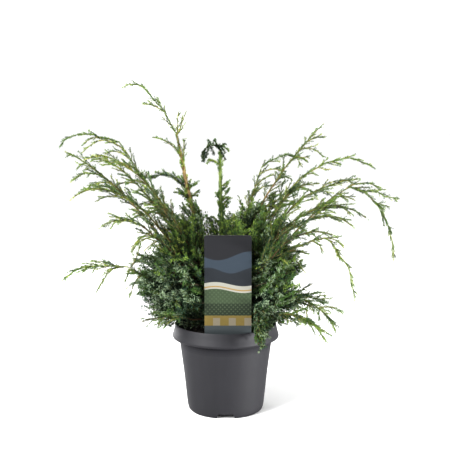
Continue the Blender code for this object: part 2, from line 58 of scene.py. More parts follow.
class Nodes:
    """A small helper for building a material's node tree."""

    def __init__(self, name):
        self.mat = D.materials.new(name)
        self.mat.use_nodes = True
        self.tree = self.mat.node_tree
        self.bsdf = self.tree.nodes["Principled BSDF"]
        self.out = self.tree.nodes["Material Output"]

    def node(self, kind, **settings):
        made = self.tree.nodes.new(kind)
        for key, value in settings.items():
            if key.startswith("in_"):
                made.inputs[key[3:].replace("_", " ")].default_value = value
            else:
                setattr(made, key, value)
        return made

    def link(self, a, b):
        self.tree.links.new(a, b)

    def math(self, op, a, b=None, clamp=False):
        made = self.tree.nodes.new("ShaderNodeMath")
        made.operation = op
        made.use_clamp = clamp
        for i, v in enumerate((a, b)):
            if v is None:
                continue
            if isinstance(v, (int, float)):
                made.inputs[i].default_value = v
            else:
                self.link(v, made.inputs[i])
        return made.outputs[0]

    def mix(self, share, a, b):
        made = self.tree.nodes.new("ShaderNodeMix")
        made.data_type = "RGBA"
        for socket, v in ((made.inputs[0], share), (made.inputs[6], a), (made.inputs[7], b)):
            if isinstance(v, (int, float)):
                socket.default_value = v
            elif isinstance(v, tuple):
                socket.default_value = v
            else:
                self.link(v, socket)
        return made.outputs[2]

    def ramp(self, value, stops, mode="LINEAR"):
        made = self.tree.nodes.new("ShaderNodeValToRGB")
        made.color_ramp.interpolation = mode
        els = made.color_ramp.elements
        while len(els) < len(stops):
            els.new(0.5)
        for e, (pos, colour) in zip(els, stops):
            e.position = pos
            e.color = colour
        self.link(value, made.inputs[0])
        return made.outputs[0]

    def base(self, colour):
        if isinstance(colour, tuple):
            self.bsdf.inputs["Base Color"].default_value = colour
        else:
            self.link(colour, self.bsdf.inputs["Base Color"])


def plain(name, colour, rough=0.55, specular=0.35):
    n = Nodes(name)
    n.base(colour)
    n.bsdf.inputs["Roughness"].default_value = rough
    n.bsdf.inputs["Specular IOR Level"].default_value = specular
    return n.mat


# needles: plain base colours, dealt out by spray
TINTS = {
    "needle_deep":   (0.015, 0.032, 0.017, 1.0),
    "needle_blue":   (0.037, 0.067, 0.042, 1.0),
    "needle_grey":   (0.175, 0.225, 0.147, 1.0),
    "needle_green":  (0.059, 0.109, 0.033, 1.0),
    "needle_fresh":  (0.140, 0.205, 0.047, 1.0),
    "needle_gold":   (0.239, 0.280, 0.072, 1.0),
    "needle_dry":    (0.184, 0.117, 0.049, 1.0),
}
NEEDLE_MATS = [plain(n, c, 0.65, 0.08) for n, c in TINTS.items()]
TINT = {n.split("_")[1]: i for i, n in enumerate(TINTS)}

TWIG_MATS = [
    plain("twig_brown", (0.080, 0.050, 0.026, 1.0), 0.75, 0.10),
    plain("twig_tan", (0.220, 0.165, 0.065, 1.0), 0.70, 0.10),
    plain("twig_green", (0.125, 0.150, 0.048, 1.0), 0.70, 0.10),
    plain("twig_dark", (0.034, 0.027, 0.016, 1.0), 0.75, 0.10),
]


def bark_material():
    n = Nodes("bark_relief")
    co = n.node("ShaderNodeTexCoord")
    wave = n.node("ShaderNodeTexNoise", in_Scale=260.0, in_Detail=5.0, in_Roughness=0.62)
    stretch = n.node("ShaderNodeMapping")
    stretch.inputs["Scale"].default_value = (1.0, 1.0, 0.22)
    n.link(co.outputs["Object"], stretch.inputs["Vector"])
    n.link(stretch.outputs["Vector"], wave.inputs["Vector"])
    spots = n.node("ShaderNodeTexNoise", in_Scale=70.0, in_Detail=3.0)
    n.link(co.outputs["Object"], spots.inputs["Vector"])
    colour = n.ramp(wave.outputs[0], [(0.32, (0.070, 0.044, 0.020, 1.0)),
                                      (0.52, (0.165, 0.122, 0.062, 1.0)),
                                      (0.72, (0.270, 0.222, 0.122, 1.0))])
    tinted = n.mix(n.math("MULTIPLY", spots.outputs[0], 0.40), colour, (0.185, 0.124, 0.060, 1.0))
    n.base(tinted)
    n.bsdf.inputs["Roughness"].default_value = 0.80
    n.bsdf.inputs["Specular IOR Level"].default_value = 0.12
    bump = n.node("ShaderNodeBump")
    bump.inputs["Strength"].default_value = 0.7
    bump.inputs["Distance"].default_value = 0.0006
    n.link(wave.outputs[0], bump.inputs["Height"])
    n.link(bump.outputs[0], n.bsdf.inputs["Normal"])
    return n.mat


BARK = bark_material()


YOUNG = plain("young_bark", (0.120, 0.150, 0.052, 1.0), 0.70, 0.15)


def pot_material(name="moulded_pot_plastic", gloss=0.29):
    n = Nodes(name)
    co = n.node("ShaderNodeTexCoord")
    grain = n.node("ShaderNodeTexNoise", in_Scale=1500.0, in_Detail=2.0)
    n.link(co.outputs["Object"], grain.inputs["Vector"])
    cloud = n.node("ShaderNodeTexNoise", in_Scale=26.0, in_Detail=4.0, in_Roughness=0.55)
    n.link(co.outputs["Object"], cloud.inputs["Vector"])
    # faint vertical flow marks from the mould
    flow_map = n.node("ShaderNodeMapping")
    flow_map.inputs["Scale"].default_value = (1.0, 1.0, 0.06)
    flow = n.node("ShaderNodeTexNoise", in_Scale=120.0, in_Detail=2.0)
    n.link(co.outputs["Object"], flow_map.inputs["Vector"])
    n.link(flow_map.outputs["Vector"], flow.inputs["Vector"])
    colour = n.mix(cloud.outputs[0], (0.0084, 0.0082, 0.0104, 1.0), (0.0110, 0.0108, 0.0132, 1.0))
    colour = n.mix(n.math("MULTIPLY", flow.outputs[0], 0.15), colour, (0.0280, 0.0280, 0.0320, 1.0))
    n.base(colour)
    rough = n.math("ADD", n.math("MULTIPLY", cloud.outputs[0], 0.14), 0.54)
    n.link(rough, n.bsdf.inputs["Roughness"])
    n.bsdf.inputs["Specular IOR Level"].default_value = gloss
    bump = n.node("ShaderNodeBump")
    bump.inputs["Strength"].default_value = 0.22
    bump.inputs["Distance"].default_value = 0.0003
    n.link(grain.outputs[0], bump.inputs["Height"])
    n.link(bump.outputs[0], n.bsdf.inputs["Normal"])
    return n.mat


def soil_material(name, dark, light):
    n = Nodes(name)
    co = n.node("ShaderNodeTexCoord")
    grit = n.node("ShaderNodeTexNoise", in_Scale=420.0, in_Detail=6.0, in_Roughness=0.7)
    n.link(co.outputs["Object"], grit.inputs["Vector"])
    n.base(n.ramp(grit.outputs[0], [(0.35, dark), (0.68, light)]))
    n.bsdf.inputs["Roughness"].default_value = 0.95
    bump = n.node("ShaderNodeBump")
    bump.inputs["Strength"].default_value = 0.8
    bump.inputs["Distance"].default_value = 0.001
    n.link(grit.outputs[0], bump.inputs["Height"])
    n.link(bump.outputs[0], n.bsdf.inputs["Normal"])
    return n.mat


# =============================================================================
# meshes from arrays
# =============================================================================
def mesh_object(name, verts, faces, mats, slots=None, smooth=False):
    """verts (n, 3); faces (m, 3) or (m, 4) of vertex numbers."""
    verts = np.ascontiguousarray(verts, dtype=np.float32)
    faces = np.ascontiguousarray(faces, dtype=np.int32)
    k = faces.shape[1]
    mesh = D.meshes.new(name)
    mesh.vertices.add(len(verts))
    mesh.vertices.foreach_set("co", verts.ravel())
    mesh.loops.add(faces.size)
    mesh.loops.foreach_set("vertex_index", faces.ravel())
    mesh.polygons.add(len(faces))
    mesh.polygons.foreach_set("loop_start", np.arange(0, faces.size, k, dtype=np.int32))
    for m in mats:
        mesh.materials.append(m)
    if slots is not None:
        mesh.polygons.foreach_set("material_index", np.ascontiguousarray(slots, dtype=np.int32))
    mesh.polygons.foreach_set("use_smooth", np.full(len(faces), smooth, dtype=bool))
    mesh.update(calc_edges=True)
    mesh.validate()
    obj = D.objects.new(name, mesh)
    scene.collection.objects.link(obj)
    return obj


def unit(v):
    return v / max(1e-12, math.sqrt(float(v @ v)))


def units(v):
    return v / np.maximum(1e-12, np.linalg.norm(v, axis=-1, keepdims=True))


def sideways(d):
    """A unit vector square to d, level where it can be."""
    s = np.array([d[1], -d[0], 0.0])
    n = math.hypot(d[0], d[1])
    return s / n if n > 1e-3 else np.array([1.0, 0.0, 0.0])


# =============================================================================
# the shape of the plant, the same sizes as the solids were worked out from
# =============================================================================
POT_HEIGHT, RIM_LIP, RIM_TOP = 0.156, 0.0952, 0.0902
SOIL_TOP = 0.1420
CARD_X, CARD_Y, CARD_W, CARD_TOP, CARD_FOOT = 0.0038, -0.0745, 0.0800, 0.3230, 0.1500
STEM_FOOT, STEM_TOP, STEM_LEAN = 0.1423, 0.2280, 0.045
STEM_TAPER = ((0.0, 0.0125), (0.006, 0.0102), (0.016, 0.0088),
              (0.038, 0.0078), (0.062, 0.0066), (0.0857, 0.0052))
LIMBS = {
    "left_tall":       ("stem", 0.185, 152, 62, 78, 0.323, 0.6, 0.74),
    "left_tall_tip":   ("left_tall", 1.0, 165, 58, -38, 0.146, 3.7, 0.0),
    "left_high":       ("stem", 0.175, 172, 62, 56, 0.356, 0.4, 0.45),
    "left_high_tip":   ("left_high", 1.0, 180, 18, -66, 0.117, 2.6, 0.0),
    "left_inner":      ("stem", 0.180, 204, 60, 0, 0.380, 4.5, 0.40),
    "left_rear":       ("stem", 0.170, 142, 49, 0, 0.440, 3.8, 0.40),
    "left_mid":        ("stem", 0.165, 188, 52, 22, 0.409, 5.0, 0.60),
    "left_mid_fork":   ("left_mid", 0.82, 206, 16, -53, 0.062, 1.7, 0.0),
    "left_droop":      ("stem", 0.165, 197, 55, -50, 0.385, 4.9, 0.40),
    "left_front":      ("stem", 0.160, 214, 51, -40, 0.330, 4.9, 0.35),
    "left_low":        ("stem", 0.152, 200, 32, 34, 0.211, 1.3, 0.50),
    "left_low_tip":    ("left_low", 1.0, 190, 5, -68, 0.116, 3.3, 0.0),
    "left_skirt":      ("stem", 0.152, 215, 16, -10, 0.178, 2.7, 0.40),
    "middle":          ("stem", 0.228, 110, 74, 89, 0.238, 0.5, 0.12),
    "middle_nod":      ("middle", 1.0, 205, 80, -89, 0.056, 0.6, 0.0),
    "right_inner":     ("stem", 0.185, 32, 77, 68, 0.258, 1.0, 0.40),
    "right_inner_tip": ("right_inner", 1.0, 22, 38, -39, 0.101, 1.3, 0.0),
    "right_tall":      ("stem", 0.185, 16, 85, 43, 0.381, 0.7, 0.45),
    "right_high":      ("stem", 0.180, 0, 64, 23, 0.306, 5.0, 0.45),
    "right_high_tip":  ("right_high", 1.0, 4, 31, -38, 0.108, 1.1, 0.0),
    "right_rear":      ("stem", 0.172, 24, 62, -3, 0.385, 1.9, 0.40),
    "right_arch":      ("stem", 0.170, -14, 51, 29, 0.318, 4.5, 0.70),
    "right_arch_tip":  ("right_arch", 1.0, -9, 22, -89, 0.158, 0.4, 0.0),
    "right_reach":     ("right_arch", 1.0, 8, -10, -41, 0.090, 4.3, 0.0),
    "right_droop":     ("stem", 0.165, -24, 61, -42, 0.363, 2.9, 0.40),
    "right_front":     ("stem", 0.160, -36, 57, -41, 0.350, 3.4, 0.40),
    "right_front_low": ("stem", 0.158, -47, 51, -15, 0.323, 3.2, 0.40),
    "right_low":       ("stem", 0.165, -31, 66, 15, 0.256, 0.9, 0.45),
    "right_low_tip":   ("right_low", 1.0, -22, -31, -85, 0.117, 0.7, 0.0),
    "right_skirt":     ("stem", 0.155, 14, 68, -14, 0.203, 0.4, 0.40),
    "right_foot":      ("stem", 0.154, -18, 31, -73, 0.230, 2.3, 0.40),
    "right_foot_fore": ("stem", 0.152, -40, 21, -61, 0.230, 3.0, 0.40),
    "back_right":      ("stem", 0.178, 49, 60, -42, 0.385, 2.6, 0.40),
    "back_right_low":  ("stem", 0.166, 68, 42, -48, 0.335, 2.2, 0.35),
    "back":            ("stem", 0.180, 88, 44, -40, 0.375, 2.0, 0.35),
    "back_left_low":   ("stem", 0.168, 104, 36, -52, 0.320, 2.4, 0.35),
    "back_left":       ("stem", 0.176, 122, 50, -44, 0.395, 2.2, 0.35),
}
HEART = {
    "heart_right_rear":  (38, 0.080, 0.232, 0.048, 0.052, 0.075),
    "heart_back":        (92, 0.078, 0.230, 0.050, 0.050, 0.073),
    "heart_left_rear":   (146, 0.084, 0.236, 0.054, 0.054, 0.078),
    "heart_left":        (194, 0.088, 0.242, 0.052, 0.050, 0.083),
    "heart_left_front":  (236, 0.088, 0.222, 0.036, 0.040, 0.064),
    "heart_front":       (277, 0.036, 0.240, 0.034, 0.043, 0.082),
    "heart_right":       (334, 0.086, 0.234, 0.050, 0.054, 0.077),
    "heart_top_left":    (165, 0.042, 0.326, 0.062, 0.052, 0.048),
    "heart_top_right":   (345, 0.046, 0.322, 0.060, 0.052, 0.050),
}
BOUGHS = ("left_tall", "left_high", "left_mid", "left_low", "middle",
          "right_tall", "right_high", "right_arch", "back")


def stem_axis(z):
    lean = STEM_LEAN * (z - STEM_FOOT)
    return np.array([-0.4 * lean, 0.9 * lean, z])


def stem_radius(z):
    h = max(0.0, z - STEM_FOOT)
    for (h0, r0), (h1, r1) in zip(STEM_TAPER, STEM_TAPER[1:]):
        if h <= h1:
            return r0 + (r1 - r0) * (h - h0) / (h1 - h0)
    return STEM_TAPER[-1][1]


def limb_line(spec, made, steps=64):
    source, at, azimuth, first, last, length, bend = spec[:7]
    if source == "stem":
        start = stem_axis(min(at, STEM_TOP))
    else:
        start = made[source][round(at * (len(made[source]) - 1))]
    a = math.radians(azimuth)
    t = (np.arange(steps) + 0.5) / steps
    e = np.radians(first + (last - first) * t ** bend)
    d = np.stack([np.cos(e) * math.cos(a), np.cos(e) * math.sin(a), np.sin(e)], 1)
    return np.vstack([start, start + np.cumsum(d, 0) * (length / steps)])


heart_c, heart_m = [], []
for az, out, z, ra, rb, rc in HEART.values():
    a = math.radians(az)
    heart_c.append((out * math.cos(a), out * math.sin(a), z))
    turn = np.array([[math.cos(a), math.sin(a), 0], [-math.sin(a), math.cos(a), 0], [0, 0, 1]])
    heart_m.append(turn / np.array([[ra], [rb], [rc]]))
heart_c, heart_m = np.array(heart_c), np.array(heart_m)


def heart_depth(p):
    """Under 1 inside the heart of the shrub, over 1 outside it."""
    q = np.einsum("kij,kj->ki", heart_m, p[None] - heart_c)
    return float(np.sqrt((q ** 2).sum(1)).min())


def blocked(p, slack=0.0):
    """True where no foliage may be: the card's room, the pot's wall and soil."""
    x, y, z = p
    if z < CARD_TOP + 0.006 and y < CARD_Y + 0.0035 + slack and abs(x - CARD_X) < CARD_W / 2 + 0.004:
        return True
    r = math.hypot(x, y)
    if z < SOIL_TOP + 0.003 and r < RIM_LIP:
        return True
    if z < POT_HEIGHT + 0.001 and RIM_TOP - 0.006 < r < RIM_LIP + 0.001:
        return True
    if z < 0.100:
        return True
    if x > 0.076 and y < 0.06 and z < 0.160 - (x - 0.093) * 0.49:
        return True
    if -0.062 < x < -0.033 and y < -0.030 and z < 0.184:
        return True
    return x < -0.03 and y < -0.035 and z < 0.168 and r > 0.078


# =============================================================================
# growing: shoots, needles and wood
# =============================================================================
class Region:
    """What grows in one part of the crown, joined by kind."""

    def __init__(self, name, nodes):
        self.name, self.nodes = name, nodes
        self.needle = []      # arrays of (base, along, outward, length, tint)
        self.tube = []        # (points, radii, sides, slot)


def needles(region, pts, tint, tip_tint, spread, size, gap, bare=0.0, lift=0.0003):
    """Whorls of three awl-shaped needles along a shoot, and a closed tip."""
    seg = np.diff(pts, axis=0)
    step = np.linalg.norm(seg, axis=1)
    run = np.concatenate([[0.0], np.cumsum(step)])
    total = run[-1]
    first = total * bare
    count = max(1, int((total - first) / gap))
    s = first + (np.arange(count) + rng.random(count) * 0.7) * (total - first) / count
    j = np.clip(np.searchsorted(run, s, side="right") - 1, 0, len(seg) - 1)
    f = ((s - run[j]) / np.maximum(step[j], 1e-9))[:, None]
    base = pts[j] + seg[j] * f
    along = units(seg[j])
    helper = np.where(np.abs(along[:, 2:3]) > 0.9, np.array([[1.0, 0, 0]]), np.array([[0, 0, 1.0]]))
    u = units(np.cross(along, helper))
    v = np.cross(along, u)
    roll = (np.arange(count) * math.pi / 3 + rng.random() * 6.28)[:, None] \
        + np.array([[0.0, 2.094, 4.189]]) + rng.normal(0, 0.25, (count, 3))
    out = u[:, None] * np.cos(roll)[..., None] + v[:, None] * np.sin(roll)[..., None]
    angle = np.radians(spread) * (1.0 + rng.normal(0, 0.22, (count, 3)))
    direction = along[:, None] * np.cos(angle)[..., None] + out * np.sin(angle)[..., None]
    length = size * (0.78 + 0.44 * rng.random((count, 3)))
    colour = np.where(s / total > 0.68, tip_tint, tint).astype(np.int32)
    rise = np.interp(s / total, np.linspace(0, 1, len(lift)), lift) if np.ndim(lift) else lift
    start = base[:, None] + out * (rise[:, None, None] if np.ndim(lift) else rise)
    n = count * 3
    region.needle.append((start.reshape(n, 3), direction.reshape(n, 3), out.reshape(n, 3),
                          length.reshape(n), np.repeat(colour, 3)))
    k = 4
    t = along[-1]
    ang = np.arange(k) * 2 * math.pi / k + rng.random() * 6.28
    o = u[-1] * np.cos(ang)[:, None] + v[-1] * np.sin(ang)[:, None]
    lean = np.radians(12 + 12 * rng.random(k))[:, None]
    region.needle.append((np.repeat(pts[-1][None] - t * size * 0.3, k, 0),
                          t * np.cos(lean) + o * np.sin(lean), o,
                          np.full(k, size * 0.72), np.full(k, tip_tint, np.int32)))


def grow(p, d, length, pull, amount, steps=5, wobble=0.06):
    """A shoot that leaves p along d and is drawn towards pull as it goes."""
    pts = [p]
    d = unit(d)
    noise_in = rng.normal(0, wobble, (steps, 3))
    for k in range(steps):
        d = unit(d + pull * (amount / steps) + noise_in[k])
        p = p + d * (length / steps)
        if blocked(p):
            break
        pts.append(p)
    if len(pts) < 3:
        return None
    return np.array(pts)


def wood(region, pts, r0, r1, sides, slot):
    region.tube.append((pts, np.linspace(r0, r1, len(pts)), sides, slot))


def at(pts, share):
    """Point and direction at a share of a line's length."""
    x = share * (len(pts) - 1)
    i = min(int(x), len(pts) - 2)
    f = x - i
    return pts[i] + (pts[i + 1] - pts[i]) * f, unit(pts[i + 1] - pts[i])


UP = np.array([0.0, 0.0, 1.0])


def side_direction(d, roll, angle):
    s = sideways(d)
    w = np.cross(s, d)
    if w[2] < 0:
        w = -w
    o = s * math.cos(roll) + w * math.sin(roll)
    return d * math.cos(angle) + o * math.sin(angle)


def pick(weights):
    """One tint by weight: {number: share}."""
    x = rng.random() * sum(weights.values())
    for k, w in weights.items():
        x -= w
        if x <= 0:
            return k
    return k


def twiglets(region, shoot, length, tint, tip_tint, spread, size, gap, pace=0.0048,
             short=0.0042, long=0.0085, open_angle=(38, 56), start=0.12):
    """The last order: short twigs on both sides of a shoot."""
    m = int(length * (1 - start) / pace)
    flip = 1 if rng.random() < 0.5 else -1
    turn = rng.normal(0.0, 0.5)
    for j in range(m):
        t = start + (0.97 - start) * (j + rng.random() * 0.6) / max(1, m)
        q, e = at(shoot, min(t, 0.98))
        flip = -flip
        roll = turn + rng.normal(0.0, 0.45)
        roll = roll if flip > 0 else math.pi + roll
        l2 = (long * (1 - t) ** 0.6 + short) * rng.uniform(0.65, 1.25)
        twig = grow(q, side_direction(e, roll, math.radians(rng.uniform(*open_angle))), l2,
                    e, 0.6, steps=3, wobble=0.09)
        if twig is None:
            continue
        needles(region, twig, tint, tip_tint, spread, size, gap)
        wood(region, twig[[0, -1]], 0.00042, 0.00025, 3, 2)


def spray(region, line, bare, reach, mix, spread, size, gap=0.0019, every=0.017, least=0.011,
          lean=(26, 44), droop=0.30, beads=True, full=False):
    """Branchlets that run on nearly along a limb, shorter towards its tip, each
    with short twigs on both sides, and the same short twigs on the limb itself."""
    length = float(np.linalg.norm(np.diff(line, axis=0), axis=1).sum()) * (1 - bare)
    n = max(2, int(length / every))
    side = 1 if rng.random() < 0.5 else -1
    for i in range(n):
        share = bare + (0.94 - bare) * (i + rng.random() * 0.7) / n
        local = (share - bare) / (1 - bare)
        p, d = at(line, share)
        side = -side
        roll = rng.normal(0.20, 0.55)
        roll = roll if side > 0 else math.pi - roll
        long = (reach * (1 - local) ** 0.8 + least) * rng.uniform(0.65, 1.3)
        pull = d * 0.9 - UP * rng.uniform(0.0, droop)
        shoot = grow(p, side_direction(d, roll, math.radians(rng.uniform(*lean))), long,
                     pull, 0.9, steps=8 if long > 0.02 else 5, wobble=0.06)
        if shoot is None:
            continue
        tint, tip_tint = pick(mix[0]), pick(mix[1])
        if length > 0.12 and rng.random() < 0.95 * (1 - local):
            # painted shade: shoots on the inner part of a long limb take the darker tints, standing in for
            # the shade inside the crown
            tint, tip_tint = pick(PAINTED_SHADE_MIX[0]), pick(PAINTED_SHADE_MIX[1])
        wood(region, shoot[::2] if len(shoot) > 6 else shoot, 0.0006, 0.0003, 3,
             2 if local > 0.3 else 1)
        if full:
            needles(region, shoot, tint, tip_tint, spread, size, gap)
            twiglets(region, shoot, long, tint, tip_tint, spread, size * 0.92, gap,
                     pace=0.0050, short=0.0050, long=0.0090, start=0.08)
        else:
            spine = mix in (OUTER, UPPER, BRIGHT) and tint not in (deep, blue)
            needles(region, shoot, pick(SPINE) if spine else tint, tip_tint, spread * 0.8, size * 0.92,
                    gap)
            twiglets(region, shoot, long, tint, tint if i % 2 else tip_tint, spread + 13, size * 0.92,
                     gap, pace=0.0050, short=0.0048, long=0.0036, start=0.08, open_angle=(26, 44))
        if long > 0.034:
            for t in (rng.uniform(0.25, 0.45), rng.uniform(0.5, 0.7)):
                q, e = at(shoot, t)
                turn = rng.normal(0.0, 0.5) + (math.pi if rng.random() < 0.5 else 0.0)
                l3 = long * rng.uniform(0.28, 0.42)
                fork = grow(q, side_direction(e, turn, math.radians(rng.uniform(26, 42))), l3,
                            e - UP * rng.uniform(0, droop), 0.9, steps=5, wobble=0.06)
                if fork is None:
                    continue
                needles(region, fork, tint, tip_tint, spread, size, gap)
                twiglets(region, fork, l3, tint, tip_tint, spread + 5, size, gap,
                         pace=0.0048, short=0.0042, long=0.0020, start=0.15,
                         open_angle=(24, 42))
    if beads:
        k = int(bare * (len(line) - 1))
        for dark in (True, False):
            twiglets(region, line[k:], length, pick(mix[0]), pick(mix[0] if dark else mix[1]),
                     spread + 11, size * 0.95, gap, pace=0.0095, short=0.0062, long=0.0035,
                     start=0.0, open_angle=(26, 44))


# ---- regions ------------------------------------------------------------------
def region_for(name, nodes):
    regions[name] = Region(name, nodes)
    return regions[name]


regions = {}
lines = {}
for name, spec in LIMBS.items():
    lines[name] = limb_line(spec, lines)

left = region_for("left_upper", ["spray_left_tall", "spray_left_tall_tip", "spray_left_high",
                                 "spray_left_high_tip", "spray_left_rear", "spray_left_inner"])
left2 = region_for("left_lower", ["spray_left_mid", "spray_left_mid_fork", "spray_left_droop",
                                  "spray_left_front", "spray_left_low", "spray_left_low_tip",
                                  "spray_left_skirt"])
middle = region_for("middle", ["spray_middle", "spray_middle_nod"])
right = region_for("right_upper", ["spray_right_inner", "spray_right_inner_tip",
                                   "spray_right_tall", "spray_right_high",
                                   "spray_right_high_tip", "spray_right_rear"])
right2 = region_for("right_middle", ["spray_right_arch", "spray_right_arch_tip",
                                     "spray_right_reach", "spray_right_droop",
                                     "spray_right_front", "spray_right_front_low"])
right3 = region_for("right_lower", ["spray_right_low", "spray_right_low_tip",
                                    "spray_right_skirt", "spray_right_foot",
                                    "spray_right_foot_fore", "fringe"])
rear = region_for("back", ["spray_back_right", "spray_back_right_low", "spray_back",
                           "spray_back_left_low", "spray_back_left"])
core_l = region_for("heart_left_fore", ["heart_left", "heart_left_front"])
core_l2 = region_for("heart_left_aft", ["heart_top_left", "heart_left_rear"])
core_r = region_for("heart_right_fore", ["heart_right", "heart_front"])
core_r2 = region_for("heart_right_aft", ["heart_top_right", "heart_right_rear"])
core_b = region_for("heart_rear", ["heart_back"])


def heart_region(p):
    if abs(p[0]) < 0.035 and p[1] > 0.04:
        return core_b
    if p[0] < 0:
        return core_l if p[1] < 0.0 else core_l2
    return core_r if p[1] < 0.0 else core_r2



where = {}
for r in regions.values():
    for n in r.nodes:
        where[n] = r

deep, blue, grey = TINT["deep"], TINT["blue"], TINT["grey"]
green, fresh, gold, dry = TINT["green"], TINT["fresh"], TINT["gold"], TINT["dry"]
# how a spray is coloured: shares of the tints for its body, and for its young tips
BRIGHT = ({green: 0.42, blue: 0.22, fresh: 0.22, grey: 0.14}, {fresh: 0.46, grey: 0.22, gold: 0.18,
                                                               green: 0.14})
SPINE = {fresh: 0.36, gold: 0.22, green: 0.42}
OUTER = ({green: 0.38, blue: 0.26, deep: 0.27, fresh: 0.09},
         {fresh: 0.38, green: 0.30, gold: 0.18, grey: 0.14})
UPPER = ({green: 0.36, blue: 0.30, deep: 0.34},
         {fresh: 0.38, green: 0.34, gold: 0.14, grey: 0.14})
LOWER = ({green: 0.40, blue: 0.34, deep: 0.20, fresh: 0.06}, {green: 0.38, fresh: 0.34, grey: 0.20,
                                                             gold: 0.08})
# painted shade: dark tints for shoots deep in the crown, standing in for the shade there
PAINTED_SHADE_MIX = ({deep: 0.60, blue: 0.30, green: 0.10}, {blue: 0.45, green: 0.35, deep: 0.20})
DARK = ({deep: 1.0}, {deep: 0.7, blue: 0.3})
HEART_HIGH = ({green: 0.46, deep: 0.26, blue: 0.28}, {fresh: 0.44, green: 0.28, grey: 0.20,
                                                      gold: 0.08})
HEART_LOW = ({deep: 0.66, blue: 0.29, green: 0.05}, {grey: 0.52, blue: 0.28, green: 0.20})
HEART_MID = ({deep: 0.46, blue: 0.32, green: 0.22}, {green: 0.42, grey: 0.38, fresh: 0.18,
                                                     gold: 0.02})
HEART_RIGHT = ({blue: 0.44, green: 0.33, deep: 0.23}, {grey: 0.56, green: 0.34, fresh: 0.10})
HANGING = ({deep: 0.62, blue: 0.30, green: 0.08}, {blue: 0.42, grey: 0.34, green: 0.24})


def bough_radius(name, t):
    """Half the thickness of a bough at a share of its length."""
    thick, thin, fall = {"left_tall": (0.0052, 0.0012, 0.75),
                         "middle": (0.0020, 0.0013, 0.8)}.get(name, (0.0027, 0.0005, 1.3))
    return thick * (1 - t) ** fall + thin


# ---- the long limbs -------------------------------------------------------------
BARE_FROM = {"left_tall": 0.90, "right_arch": 0.86, "left_mid": 0.74, "right_tall": 0.62,
             "right_high": 0.60, "right_inner": 0.60}
for name, spec in LIMBS.items():
    region = where["spray_" + name]
    line = lines[name]
    n = len(line)
    t = np.linspace(0, 1, n)[:, None]
    waver = np.zeros((n, 3))
    for k in (2.0, 4.5, 8.0):
        waver += np.sin(t * k * math.pi * 2 + rng.random() * 6.28) * rng.normal(0, 0.0022 / k, 3)
    waver *= np.sin(np.clip(t, 0, 1) * math.pi) ** 0.5
    line = line + waver
    lines[name + "_grown"] = line

    is_tip = spec[0] != "stem"
    bare = spec[7]
    at_back = name.startswith("back")
    low = any(w in name for w in ("low", "skirt", "foot", "front"))
    mix = LOWER if low or at_back else UPPER
    if is_tip or name in ("right_tall", "right_rear", "right_droop", "left_droop", "left_mid",
                          "right_low", "right_foot", "right_skirt", "right_front"):
        mix = OUTER
    if name in ("right_skirt", "right_foot", "right_foot_fore"):
        mix = BRIGHT
    if name == "left_skirt":
        mix = HEART_LOW
    if name == "middle_nod":
        wood(region, line[:int(n * 0.8):3], 0.0010, 0.0005, 5, 3)
        needles(region, line[:int(n * 0.8)], green, deep, 28, 0.0036, 0.0016)
        continue
    spines = SPINE if mix in (OUTER, UPPER, BRIGHT) else mix[0]
    if is_tip:
        wood(region, line[::3], 0.0009, 0.0004, 5, 2)
        low_tip = name == "left_low_tip"
        spray(region, line, 0.0, 0.026 if low_tip else 0.012, mix, 25, 0.0033,
              every=0.0065 if low_tip else 0.015, least=0.009)
        needles(region, line, pick(SPINE), pick(mix[1]), 24, 0.0033, 0.0015)
        continue
    start = int(0.05 * n)
    if name not in BOUGHS:
        wood(region, line[start::3], 0.0019, 0.0006, 5, 0)
    reach = {"left_tall": 0.0, "middle": 0.0, "right_tall": 0.022, "right_skirt": 0.050,
             "right_foot": 0.046, "right_foot_fore": 0.044, "left_low": 0.042}.get(name, 0.036)
    least = {"left_tall": 0.006, "middle": 0.007}.get(name, 0.012)
    rich = name in ("right_skirt", "right_foot", "right_foot_fore")
    spray(region, line, bare, reach, mix, 24 if rich else 23, 0.0033 if rich else 0.0029, least=least,
          every=0.0085 if rich else 0.0115)
    green_from = max(bare, BARE_FROM.get(name, 0.0))
    clad = line[int(n * green_from):]
    surface = bough_radius(name, np.linspace(green_from, 1.0, 12)) if name in BOUGHS else \
        np.linspace(0.0019, 0.0006, 12)
    stout = name in ("left_tall", "middle")
    needles(region, clad, green if stout else pick(spines), pick(mix[1]), 25 if stout else 21,
            0.0042 if stout else 0.0031, 0.0014 if stout else 0.0018, lift=surface * 0.85)
    if name == "left_tall":
        # short dry and golden stubs all along the old stem
        stub = line[int(n * 0.52):int(n * 0.92)]
        for tint, tip in ((dry, gold), (gold, fresh), (green, fresh), (green, fresh)):
            twiglets(region, stub, 0.130, tint, tip, 30, 0.0042, 0.0014,
                     pace=0.0120, short=0.0135, long=0.0050, start=0.0, open_angle=(22, 40))
        needles(region, stub, dry, gold, 26, 0.0034, 0.0040, lift=np.full(6, 0.0034))
    if name == "middle":
        for tint, tip in ((green, fresh), (green, green), (blue, fresh)):
            twiglets(region, line[int(n * 0.1):int(n * 0.66)], 0.133, tint, tip, 32, 0.0046, 0.0014,
                     pace=0.0065, short=0.0100, long=0.0040, start=0.0, open_angle=(20, 36))
        for tint, tip in ((green, fresh), (fresh, gold), (green, green)):
            twiglets(region, line[int(n * 0.1):], 0.215, tint, tip, 40, 0.0040, 0.0014,
                     pace=0.0074, short=0.0070, long=0.0024, start=0.0, open_angle=(28, 52))
    if name not in ("left_tall", "middle"):
        # what grows on the limb's inner part, looser, with darker tints as painted shade unless it ends high
        # in the crown
        stop = {"right_arch": 0.48, "left_mid": 0.56}.get(name, bare + 0.06)
        inner = line[int(n * 0.25):int(n * stop)]
        spray(region, inner, 0.0, 0.022, HEART_HIGH if inner[-1][2] > 0.27 else PAINTED_SHADE_MIX, 34, 0.0044,
              every=0.014, least=0.016, beads=True, full=True, lean=(34, 56))

